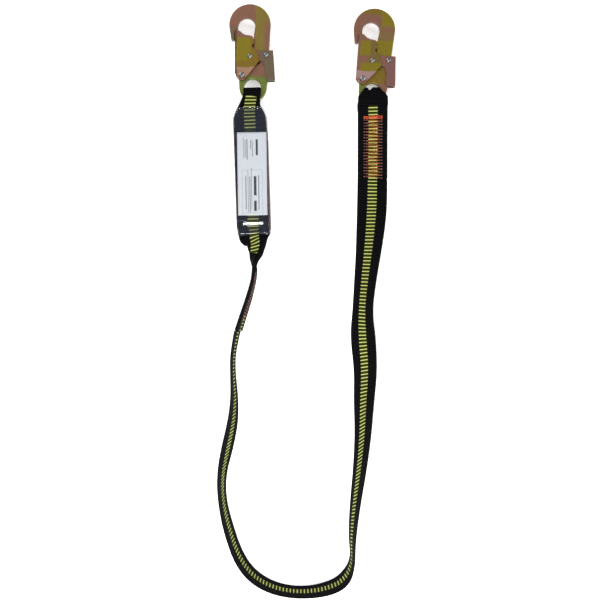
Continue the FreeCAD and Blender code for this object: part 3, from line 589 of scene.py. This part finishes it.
FOLD_FADE = 12.0            # from there to where it has gone down by FOLD_DROP
FOLD_DROP = 1.7
random.seed(7)
waves = [(random.uniform(0.05, 0.5), random.uniform(0.05, 0.45), random.uniform(0, 6.28))
         for wave in range(7)]


def film_wave(x, y):
    """Small wave of shrunk film at a place on it, in millimetres."""
    return WAVE_HEIGHT * sum(math.sin(x * along + y * across + phase)
                             for along, across, phase in waves)


def film_ring(y, half, low, high):
    """Points of one rounded ring of film, anticlockwise seen from its lower end."""
    ring = []
    corners = [(half - CORNER, low + CORNER, -90), (half - CORNER, high - CORNER, 0),
               (-half + CORNER, high - CORNER, 90), (-half + CORNER, low + CORNER, 180)]
    for place, (x, z, start) in enumerate(corners):
        for step in range(CORNER_STEPS + 1):
            turn = math.radians(start + 90 / CORNER_STEPS * step)
            ring.append((x + CORNER * math.cos(turn), z + CORNER * math.sin(turn)))
        next_x, next_z, next_start = corners[(place + 1) % 4]
        last_x, last_z = ring[-1]
        first_x = next_x + CORNER * math.cos(math.radians(next_start))
        first_z = next_z + CORNER * math.sin(math.radians(next_start))
        count = FLAT_STEPS if place % 2 else WALL_STEPS
        for step in range(1, count):
            share = step / count
            ring.append((last_x + (first_x - last_x) * share, last_z + (first_z - last_z) * share))
    return ring


sleeve_ways = smooth([(y, half, low) for y, half, low, high in SLEEVE_RINGS], 10)
sleeve_tops = smooth([(y, high, 0) for y, half, low, high in SLEEVE_RINGS], 10)
film_points = []
ring_size = 0
for way, top in zip(sleeve_ways, sleeve_tops):
    ring = film_ring(way.x, way.y, way.z, top.y)
    ring_size = len(ring)
    for x, z in ring:
        above = max(0.0, min(1.0, (z - 3.0) / 6.0))
        wave = film_wave(x, way.x) * above
        inward = math.copysign(min(abs(x), 1.0), x)
        beyond = max(0.0, (abs(x) - FOLD_CREST) / FOLD_FADE)
        drop = FOLD_DROP * above * hump(way.x, FOLD_PLACE, FOLD_HALF) * beyond
        film_points.append(on_pack(x + FILM_SHIFT + wave * inward * 0.5, way.x, z + wave - drop))
sleeve = add_mesh("clear_shrink_sleeve", film_points,
                  tube_faces(len(sleeve_ways), ring_size, closed=False))
film_wall = sleeve.modifiers.new("film thickness", "SOLIDIFY")
film_wall.thickness = 0.3 * MM
film_wall.offset = 1.0
settle(sleeve, "absorber_sleeve")
print("sleeve of", len(sleeve_ways), "rings")

# %% [markdown]
# ## Stitches
# Both sewn ends are held by close zigzag rows of thick polyester thread.  Every stitch is a
# short bar of thread whose ends dip into the cloth.  They follow the same cuts as the cloth
# does, so they turn with it, and small seeded differences keep them from looking printed.

# %% Stitch helper
STITCH_PITCH = 4.4          # millimetres from one zigzag row to the next
STITCH_HALF = 14.5          # half of the sewn width
STITCH_LENGTH = 3.6
STITCH_DIP = -0.35          # how far its ends go into the cloth, and how far its middle stands up
STITCH_RISE = 0.12
STITCH_GAP = 0.08           # share of a stitch's room left free at each end
STITCH_TAPER = 0.35         # how fat its ends are, as a share of its middle


def cut_at(cuts, run):
    """The cut nearest to a run along the strap, in millimetres."""
    share = run * MM / cuts[-1].run
    return cuts[min(max(round(share * (len(cuts) - 1)), 0), len(cuts) - 1)]


def zigzag(first, last, pitch=STITCH_PITCH):
    """Stitches of the zigzag between two runs: start and end as (run, across)."""
    lines = int((last - first) / (pitch / 2))
    count = round(2 * STITCH_HALF / STITCH_LENGTH)
    stitches = []
    for line in range(lines):
        run = first + line * pitch / 2
        side = 1 if line % 2 else -1
        for number in range(count):
            stitches.append([(run + pitch / 2 * share, side * STITCH_HALF * (2 * share - 1))
                             for share in ((number + STITCH_GAP) / count,
                                           (number + 1 - STITCH_GAP) / count)])
    return stitches


def sew(name, cuts, stitches, face, radius=0.33):
    """One mesh of short thread bars lying on a face of the strap, at that height in millimetres."""
    points = []
    faces = []
    cloth = []
    sides = 6
    outward = math.copysign(1, face)
    for (first_run, first_across), (last_run, last_across) in stitches:
        sway = random.uniform(-0.35, 0.35)
        fat = radius * random.uniform(0.85, 1.15)
        start = len(points)
        shares = (0.0, 0.12, 0.5, 0.88, 1.0)
        middles = []
        for share in shares:
            run = first_run + (last_run - first_run) * share + sway
            across = first_across + (last_across - first_across) * share
            cut = cut_at(cuts, run)
            rise = STITCH_DIP if share in (0.0, 1.0) else STITCH_RISE
            spare = cut.along * (run * MM - cut.run)
            middles.append((cloth_point(cut, across, face + outward * rise) + spare, cut))
            cloth += [(run, across)] * sides
        way = (middles[-1][0] - middles[0][0]).normalized()
        for (middle, cut), share in zip(middles, shares):
            up = cut.normal
            out = way.cross(up).normalized()
            girth = fat * (STITCH_TAPER if share in (0.0, 1.0) else 1.0)
            for number in range(sides):
                turn = 2 * math.pi * number / sides
                points.append(middle + (out * math.cos(turn) + up * math.sin(turn)) * girth * MM)
        faces += tube_faces(len(shares), sides, start)
    made = add_mesh(name, points, faces, cloth)
    print(f"{name}: {len(stitches)} stitches")
    return made


# %% [markdown]
# ## The seams
# The long seam behind the second hook ends in a close bar tack and shows on its underside too.
# The doubled end below the absorber has the same seam on both faces.

# %% Stitches at both ends
SEAM_START = 2.0            # millimetres along the loop
SEAM_END = 94.0
TACK_LENGTH = 5.0
TACK_PITCH = 1.5
SEWN_SEAM = (88.0, 14.0)    # from the lower end of the doubled strap back to the seam's two ends
THREAD_LEVEL = 1.25         # from the middle of a layer to the middle of the thread
end_threads = sew("end_hook_stitches", end_loop_cuts,
                  zigzag(SEAM_START, SEAM_END - TACK_LENGTH), THREAD_LEVEL, radius=0.38)
settle(end_threads, "hook_loop_stitching")
end_tack = sew("end_hook_bar_tack", end_loop_cuts,
               zigzag(SEAM_END - TACK_LENGTH, SEAM_END, TACK_PITCH), 1.3, radius=0.42)
settle(end_tack)
end_length = end_loop_cuts[-1].run / MM
end_under = sew("end_hook_stitches_underside", end_loop_cuts,
                zigzag(end_length - SEAM_END, end_length - 3.0), 1.1, radius=0.3)
settle(end_under)

sewn_length = sewn_cuts[-1].run / MM
sewn_threads = []
for side_name, face in (("outer", LAYER_STEP + THREAD_LEVEL), ("inner", -LAYER_STEP - THREAD_LEVEL)):
    threads = sew(f"sewn_end_stitches_{side_name}", sewn_cuts,
                  zigzag(sewn_length - SEWN_SEAM[0], sewn_length - SEWN_SEAM[1]), face)
    settle(threads, "sewn_loop_stitching")
    sewn_threads.append(threads)

# %% [markdown]
# ## Materials
# Colours are written as the hex values a paint program shows and turned to linear light by one
# function.  One more function adds a shader node, sets its fields and joins its inputs.

# %% Material helpers
def colour(code):
    """Linear colour of an sRGB hex code such as 'b4ba55'."""
    linear = []
    for place in (0, 2, 4):
        value = int(code[place:place + 2], 16) / 255
        linear.append(value / 12.92 if value <= 0.04045 else ((value + 0.055) / 1.055) ** 2.4)
    return (*linear, 1.0)


def node(material, kind, settings=None, links=None):
    """Add a shader node, with its fields and sockets set and its inputs joined.

    A link names a socket, or a whole node when its first output is meant.
    """
    tree = material.node_tree
    made = tree.nodes.new("ShaderNode" + kind)
    for name, value in (settings or {}).items():
        if isinstance(name, str) and hasattr(made, name):
            setattr(made, name, value)
        else:
            made.inputs[name].default_value = value
    for name, source in (links or {}).items():
        socket = source.outputs[0] if hasattr(source, "outputs") else source
        tree.links.new(socket, made.inputs[name])
    return made


SOFT = {"interpolation_type": "SMOOTHSTEP"}
TONES = {"data_type": "RGBA"}


def new_material(name):
    """An empty node material."""
    material = bpy.data.materials.new(name)
    material.use_nodes = True
    material.node_tree.nodes.clear()
    return material


def close_material(material, surface, preview):
    """Join the finished shader to the output and give the viewport a plain colour."""
    node(material, "OutputMaterial", links={"Surface": surface})
    material.diffuse_color = colour(preview)
    print("material", material.name)
    return material


def dress(material, *pieces):
    """Give every piece this material and no other."""
    for piece in pieces:
        piece.data.materials.clear()
        piece.data.materials.append(material)


# %% [markdown]
# ## Webbing
# Polyester webbing is woven on a narrow loom.  Its black ground has fine ribs across, about one
# every 2.6 mm here so that they can be seen, and the yellow yarns of the ladder float over them
# in rungs, each made of yarns 1.6 mm wide.  Such cloth scatters nearly all of the light that it
# sends back, so its shine is set close to nothing and the black stays deep.

# %% Webbing material
def webbing(name, rung_half, selvage):
    """Black polyester webbing with a ladder of yellow yarn along its middle."""
    made = new_material(name)
    cloth = node(made, "UVMap", {"uv_map": "cloth"})
    parts = node(made, "SeparateXYZ", links={0: cloth})
    across = node(made, "Math", {"operation": "ABSOLUTE"}, {0: parts.outputs[1]})
    rib = node(made, "Math", {"operation": "PINGPONG", 1: RUNG_PITCH / 4}, {0: parts})
    rib_mask = node(made, "MapRange", SOFT | {1: 0.2, 2: RUNG_PITCH / 4 - 0.1}, {0: rib})
    yarn = node(made, "Math", {"operation": "PINGPONG", 1: 0.8}, {0: parts.outputs[1]})
    yarn_mask = node(made, "MapRange", SOFT | {1: 0.02, 2: 0.35}, {0: yarn})
    fibre = node(made, "TexNoise", {"Scale": 0.9, "Detail": 3.0}, {"Vector": cloth})
    ribs = node(made, "Math", {"operation": "MULTIPLY"}, {0: rib_mask, 1: fibre})
    ground = node(made, "Mix", TONES | {6: colour("020203"), 7: colour("19181b")}, {0: ribs})
    edge = node(made, "MapRange", SOFT | {1: 20.6, 2: 21.6, 4: 0.8}, {0: across})
    dark = node(made, "Mix", TONES | {7: colour(selvage)}, {0: edge, 6: ground.outputs[2]})
    height = node(made, "Math", {"operation": "MULTIPLY_ADD", 1: 0.6}, {0: rib_mask, 2: yarn_mask})
    swing = node(made, "Math", {"operation": "PINGPONG", 1: RUNG_PITCH / 2}, {0: parts})
    rung = node(made, "MapRange", SOFT | {1: 1.70, 2: 2.10}, {0: swing})
    column = node(made, "MapRange", SOFT | {1: rung_half, 2: rung_half - 0.35}, {0: across})
    covered = node(made, "Attribute", {"attribute_name": "covered"})
    open_ladder = node(made, "Math", {"operation": "SUBTRACT", 0: 1.0}, {1: covered.outputs[2]})
    ladder = node(made, "Math", {"operation": "MULTIPLY"}, {0: column, 1: open_ladder})
    both = node(made, "Math", {"operation": "MULTIPLY"}, {0: rung, 1: ladder})
    twisted = node(made, "Mix", TONES | {6: colour("666a2c"), 7: colour("b8bc70")}, {0: yarn_mask})
    under = node(made, "Mix", TONES | {7: colour("222808")}, {0: ladder, 6: dark.outputs[2]})
    surface = node(made, "Mix", TONES, {0: both, 6: under.outputs[2], 7: twisted.outputs[2]})
    bump = node(made, "Bump", {"Strength": 0.5, "Distance": 0.0003}, {"Height": height})
    cloth_shader = node(made, "BsdfPrincipled", {"Roughness": 0.7, "Specular IOR Level": 0.012},
                        {"Base Color": surface.outputs[2], "Normal": bump})
    return close_material(made, cloth_shader, "1a1a1c")


dress(webbing("polyester webbing with yellow ladder", RUNG_HALF, "141416"), strap, *sewn_layers,
      end_loop)
dress(webbing("tear webbing with yellow ladder", TEAR_RUNG_HALF, "141416"), pack_loop)
dress(webbing("folded webbing with raw brown edges", TEAR_RUNG_HALF, "6e5038"), folded)
dress(webbing("plain black webbing", RUNG_HALF, "0c0c0e"), pack_cover, end_cover)

# %% [markdown]
# ## Thread
# Bonded polyester sewing thread, dyed orange and a little faded.  The dye takes unevenly, so the
# colour drifts from one stitch to the next.  The bar tack is redder.  The thread below the absorber
# is painted darker, and that darkness is painted shade.

# %% Thread material
def bonded_thread(name, middle, sides, fade):
    """Bonded thread, one colour over the ladder and another towards the sides of the seam."""
    made = new_material(name)
    place = node(made, "UVMap", {"uv_map": "cloth"})
    parts = node(made, "SeparateXYZ", links={0: place})
    across = node(made, "Math", {"operation": "ABSOLUTE"}, {0: parts.outputs[1]})
    outer = node(made, "MapRange", {1: 7.0, 2: 8.5}, {0: across})
    drift = node(made, "TexNoise", {"Scale": 0.5, "Detail": 1.0}, {"Vector": place})
    tone = node(made, "Mix", TONES | {6: colour(middle), 7: colour(sides)}, {0: outer})
    worn = node(made, "MapRange", {1: 0.35, 2: 0.7}, {0: drift})
    faded = node(made, "Mix", TONES | {7: colour(fade)}, {0: worn, 6: tone.outputs[2]})
    ply = node(made, "TexWave",
               {"wave_type": "BANDS", "bands_direction": "DIAGONAL", "Scale": 0.9},
               {"Vector": place})
    bump = node(made, "Bump", {"Strength": 0.4, "Distance": 0.0001}, {"Height": ply.outputs[1]})
    shader = node(made, "BsdfPrincipled", {"Roughness": 0.5, "Specular IOR Level": 0.3},
                  {"Base Color": faded.outputs[2], "Normal": bump})
    return close_material(made, shader, middle)


dress(bonded_thread("orange bonded thread", "b4581e", "643840", "98643c"), end_threads, end_under)
# painted shade: the stitches of the sewn end below the absorber get darker tones than the orange
# thread
dress(bonded_thread("thread darkened with painted shade", "4c2018", "3e1c1a", "8c5a48"), *sewn_threads)
dress(bonded_thread("red bonded thread", "c0391a", "b83a22", "c85a30"), end_tack)

# %% [markdown]
# ## Label paper
# The label is coated paper, faintly blue.  It carries plain bars where print would be, some of
# them in a thin ruled frame, and no words.

# %% Label material
paper = new_material("coated paper")
paper_place = node(paper, "UVMap", {"uv_map": "cloth"})
paper_parts = node(paper, "SeparateXYZ", links={0: paper_place})
paper_colour = node(paper, "RGB").outputs[0]
paper_colour.default_value = colour("e9eef4")
RULE = "9aa0a8"             # the thin frame's tone
PRINTED_BARS = [    # middle x and y, half width and half length in millimetres, and tone
    (7.2, 34, 1.5, 11.5, "3c4046"), (0.6, 32, 0.5, 12, "8a9098"), (-1.8, 38, 0.5, 7, "8a9098"),
    (-7, 31, 0.6, 15, "6a7078"), (-9.6, 32, 0.5, 13, "8a9098"), (-12.2, 33, 0.5, 15, "a0a6ae"),
    (4, -22, 1.9, 14, "3c4046"), (4, -51, 1.9, 7.5, "3c4046"), (9.2, -32, 0.6, 25, "7a8088"),
    (-1.2, -26, 0.5, 30, "a0a6ae"), (-3.6, -34, 0.6, 26, "7a8088"), (-6.2, -30, 0.5, 30, "a0a6ae"),
    (-9.4, -32, 0.6, 24, "6a7078"), (14.6, -33, 0.2, 34, RULE), (-14.6, -33, 0.2, 34, RULE),
    (0, 1, 14.6, 0.2, RULE), (0, -61, 14.6, 0.2, RULE),
]


def printed_bar(under, x, y, half_x, half_y, tone):
    """A plain printed bar laid over the paper colour that is joined so far."""
    masks = []
    for axis, centre, half in ((0, x, half_x), (1, y, half_y)):
        away = node(paper, "Math", {"operation": "SUBTRACT", 1: centre},
                    {0: paper_parts.outputs[axis]})
        size = node(paper, "Math", {"operation": "ABSOLUTE"}, {0: away})
        masks.append(node(paper, "MapRange", {1: half + 0.15, 2: half - 0.15}, {0: size}))
    both = node(paper, "Math", {"operation": "MULTIPLY"}, {0: masks[0], 1: masks[1]})
    return node(paper, "Mix", TONES | {7: colour(tone)}, {0: both, 6: under}).outputs[2]


for bar in PRINTED_BARS:
    paper_colour = printed_bar(paper_colour, *bar)
paper_grain = node(paper, "TexNoise", {"Scale": 2.0, "Detail": 4.0}, {"Vector": paper_place})
paper_bump = node(paper, "Bump", {"Strength": 0.1, "Distance": 0.0001}, {"Height": paper_grain})
paper_shader = node(paper, "BsdfPrincipled", {"Roughness": 0.45},
                    {"Base Color": paper_colour, "Normal": paper_bump})
dress(close_material(paper, paper_shader, "e9eef4"), label)

# %% [markdown]
# ## Clear film
# The film is clear PVC about 0.3 mm thick.  Over black cloth it is only a dark blue veil with
# sharp highlights, which a low alpha under a glossy coat gives.

# %% Film material
film = new_material("clear shrunk PVC film")
film_place = node(film, "TexCoord")
film_noise = node(film, "TexNoise", {"Scale": 90.0, "Detail": 2.0, "Distortion": 0.6},
                  {"Vector": film_place.outputs["Object"]})
film_bump = node(film, "Bump", {"Strength": 0.14, "Distance": 0.0008}, {"Height": film_noise})
film_tint = node(film, "Mix", TONES | {6: colour("10151f"), 7: colour("2a3446")}, {0: film_noise})
film_shader = node(film, "BsdfPrincipled",
                   {"Roughness": 0.08, "Alpha": 0.19, "IOR": 1.53, "Coat Weight": 1.0,
                    "Coat Roughness": 0.04},
                   {"Base Color": film_tint.outputs[2], "Normal": film_bump})
dress(close_material(film, film_shader, "2a3446"), sleeve)

# %% [markdown]
# ## Plated steel
# The hooks are forged and pressed steel with a yellow chromate finish over zinc.  That film is
# far thinner than a hair and its thickness drifts, so the colour wanders from gold through pink
# to green across one plate.  Each part gets its own tones, laid in broad soft bands whose places
# are measured in millimetres from the hook's gate rivet.

# %% Plated steel material
X, Y = 0, 1
GATE_RIVET_LEVEL = 0.011    # metres, as are the places of the two gate rivets
HOOKS = {"pack_hook": ((-0.015484, 0.141205), 0.0), "end_hook": ((0.161309, 0.135858), END_TURN)}


def plated_steel(name, hook, base, bands, roughness=0.36):
    """Yellow chromate plating; each band is a colour, an axis and where it fades in and is full."""
    made = new_material(name)
    (x, y), turn = HOOKS[hook]
    room = node(made, "TexCoord")
    local = node(made, "Mapping", {"vector_type": "TEXTURE"}, {"Vector": room.outputs["Object"]})
    local.inputs["Location"].default_value = (x, y, GATE_RIVET_LEVEL)
    local.inputs["Rotation"].default_value = (0, 0, turn)
    local.inputs["Scale"].default_value = (MM, MM, MM)
    cloud = node(made, "TexNoise", {"Scale": 0.055, "Detail": 3.0, "Roughness": 0.55},
                 {"Vector": local})
    cloud_wide = node(made, "MapRange", {1: 0.3, 2: 0.7, 3: -1.6, 4: 1.6}, {0: cloud})
    parts = node(made, "SeparateXYZ", links={0: local})
    current = node(made, "RGB")
    current.outputs[0].default_value = colour(base)
    surface_colour = current.outputs[0]
    for tone, limits in bands:
        factor = None
        for axis, fade_in, full in limits:
            wandering = node(made, "Math", {"operation": "ADD"},
                             {0: parts.outputs[axis], 1: cloud_wide})
            mask = node(made, "MapRange", SOFT | {1: fade_in, 2: full}, {0: wandering})
            factor = mask if factor is None else node(made, "Math", {"operation": "MULTIPLY"},
                                                      {0: factor, 1: mask})
        surface_colour = node(made, "Mix", TONES | {7: colour(tone)},
                              {0: factor, 6: surface_colour}).outputs[2]
    speck = node(made, "TexNoise", {"Scale": 1.6, "Detail": 4.0, "Roughness": 0.7}, {"Vector": local})
    speck_mask = node(made, "MapRange", {1: 0.35, 2: 0.75, 3: 0.56, 4: 0.76}, {0: speck})
    tinted = node(made, "HueSaturation", links={"Color": surface_colour, "Value": speck_mask})
    gloss = node(made, "MapRange", {1: 0.3, 2: 0.7, 3: roughness - 0.06, 4: roughness + 0.10},
                 {0: speck})
    worn_edge = node(made, "Bevel", {"samples": 4, "Radius": 0.0006})
    bump = node(made, "Bump", {"Strength": 0.22, "Distance": 0.0003},
                {"Height": speck, "Normal": worn_edge})
    steel = node(made, "BsdfPrincipled", {"Metallic": 0.85},
                 {"Base Color": tinted, "Roughness": gloss, "Normal": bump})
    return close_material(made, steel, base)


PINK = "9c705c"
GOLD = "988440"
OLIVE = "98882a"
BRASS = "93792f"
GREEN = "7f8c44"
TAN = "bd9576"
MAUVE = "966c66"
BROWN = "80705a"
DARK = "6e5140"
BRONZE = "96794e"
OCHRE = "8c7440"
ROSE = "c09a98"
FINISHES = {
    "pack_hook_body": (PINK, [
        (GOLD, [(X, 19, 21.5), (Y, 30, 36)]), (PINK, [(X, 31, 36), (Y, 88, 70)]),
        (BROWN, [(X, -4, -9), (Y, 78, 64)]), (GREEN, [(Y, 3, -3)])]),
    "pack_hook_gate": (OLIVE, [
        (BRASS, [(X, 9, 17)]), (BRASS, [(Y, 26, 18)]), (PINK, [(Y, 53, 56)]), (TAN, [(Y, 13.5, 11)]),
        (PINK, [(Y, 2, -4)]), (DARK, [(X, -7, -8.6)])]),
    "pack_hook_lock_lever": (BROWN, [
        (MAUVE, [(X, 30, 24), (Y, 14, 22)]), (GREEN, [(Y, 8, -8)]), (BROWN, [(X, 26, 30)])]),
    "end_hook_body": (PINK, [
        (BRASS, [(Y, 94.5, 98)]), (OLIVE, [(X, 18, 24), (Y, 74, 84)]),
        (BRONZE, [(X, 13, 15), (Y, 76, 70)]), (OLIVE, [(X, 11, 13), (Y, 60.5, 58.5)]),
        (PINK, [(Y, 37, 33)]), (BRASS, [(Y, 22, 16)]), (PINK, [(X, 20, 26), (Y, 0, -6)]),
        (GREEN, [(X, 8, 2), (Y, -3, -7)])]),
    "end_hook_gate": (PINK, [
        (OCHRE, [(X, 4, 8)]), (OLIVE, [(X, -8, -6), (X, 9, 7), (Y, 33, 35)]),
        (OLIVE, [(X, -8, 0), (Y, 26, 23)]), (PINK, [(Y, 54, 57)]), (ROSE, [(Y, 13, 11)]),
        (PINK, [(Y, 3, -3)]), (DARK, [(X, -11, -13)])]),
    "end_hook_lock_lever": (MAUVE, [
        (PINK, [(X, 38, 30), (Y, 20, 28)])]),
}
for name, (base, bands) in FINISHES.items():
    hook = "_".join(name.split("_")[:2])
    finish = plated_steel("chromated steel " + name.replace("_", " "), hook, base, bands)
    dress(finish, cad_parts[name])

# %% [markdown]
# ## Bright steel
# The rivets are left in bright zinc and the springs are drawn spring wire.

# %% Rivets and springs
def bright_steel(name, tone, roughness, grain):
    """Bare or zinc plated steel with fine grain."""
    made = new_material(name)
    room = node(made, "TexCoord")
    fine = node(made, "TexNoise", {"Scale": grain, "Detail": 3.0}, {"Vector": room.outputs["Object"]})
    shade = node(made, "MapRange", {1: 0.3, 2: 0.7, 3: roughness - 0.05, 4: roughness + 0.12},
                 {0: fine})
    tint = node(made, "Mix", TONES | {6: colour(tone), 7: colour("8c8e92")}, {0: fine})
    bump = node(made, "Bump", {"Strength": 0.2, "Distance": 0.0002}, {"Height": fine})
    steel = node(made, "BsdfPrincipled", {"Metallic": 1.0},
                 {"Base Color": tint.outputs[2], "Roughness": shade, "Normal": bump})
    return close_material(made, steel, tone)


rivet_steel = bright_steel("bright zinc rivets", "64666a", 0.24, 700.0)
spring_steel = bright_steel("drawn spring wire", "54565a", 0.32, 900.0)
SHARP_ANGLE = math.radians(28)
for name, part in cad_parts.items():
    if not name.startswith(("pack_hook_", "end_hook_")):
        continue
    part.data.shade_smooth()
    part.data.set_sharp_from_angle(angle=SHARP_ANGLE)
    for ending, finish in (("spring", spring_steel), ("rivet", rivet_steel), ("pin", rivet_steel)):
        if name.endswith(ending):
            dress(finish, part)

# %% [markdown]
# ## Table and light
# A light table, glowing a little so that it shows no hard shadow, under soft light from all
# around: an even room, two wide suns that stand for large lamps far away, and one long lamp
# beyond the lower end.  The folds of the film and the domed rivets catch the long lamp.

# %% Table and light
table = add_mesh("table", [(-4, -4, 0), (4, -4, 0), (4, 4, 0), (-4, 4, 0)], [(0, 1, 2, 3)])
table_top = new_material("white table")
table_noise = node(table_top, "TexNoise", {"Scale": 3.0})
table_tone = node(table_top, "Mix", TONES | {6: colour("f4f4f4"), 7: colour("fafafa")},
                  {0: table_noise})
table_shader = node(table_top, "BsdfPrincipled",
                    {"Roughness": 0.9, "Specular IOR Level": 0.1, "Emission Strength": 0.4,
                     "Emission Color": (1, 1, 1, 1)},
                    {"Base Color": table_tone.outputs[2]})
dress(close_material(table_top, table_shader, "f4f4f4"), table)

room_light = bpy.data.worlds.new("room")
room_light.use_nodes = True
sky = room_light.node_tree.nodes["Background"]
sky.inputs["Color"].default_value = (1, 1, 1, 1)
sky.inputs["Strength"].default_value = 0.6
bpy.context.scene.world = room_light


def light(name, kind, spot, aim, settings):
    """A lamp at a spot that looks at a place."""
    data = bpy.data.lights.new(name, kind)
    for field, value in settings.items():
        setattr(data, field, value)
    made = bpy.data.objects.new(name, data)
    made.location = spot
    made.rotation_euler = (Vector(aim) - Vector(spot)).to_track_quat("-Z", "Y").to_euler()
    bpy.context.scene.collection.objects.link(made)


MIDDLE = (0.07, -0.19, 0.0)
WIDE_SUN = {"energy": 1.3, "angle": math.radians(46)}
light("wide sun at upper left", "SUN", (-1.2, 1.0, 1.6), MIDDLE, WIDE_SUN)
light("wide sun at right", "SUN", (1.7, -0.1, 1.6), MIDDLE, WIDE_SUN)
light("long lamp below", "AREA", (-0.07, -0.95, 1.0), (0.0, -0.08, 0.03),
      {"energy": 19.0, "shape": "RECTANGLE", "size": 0.55, "size_y": 0.26})
bpy.context.scene.view_settings.view_transform = "Standard"
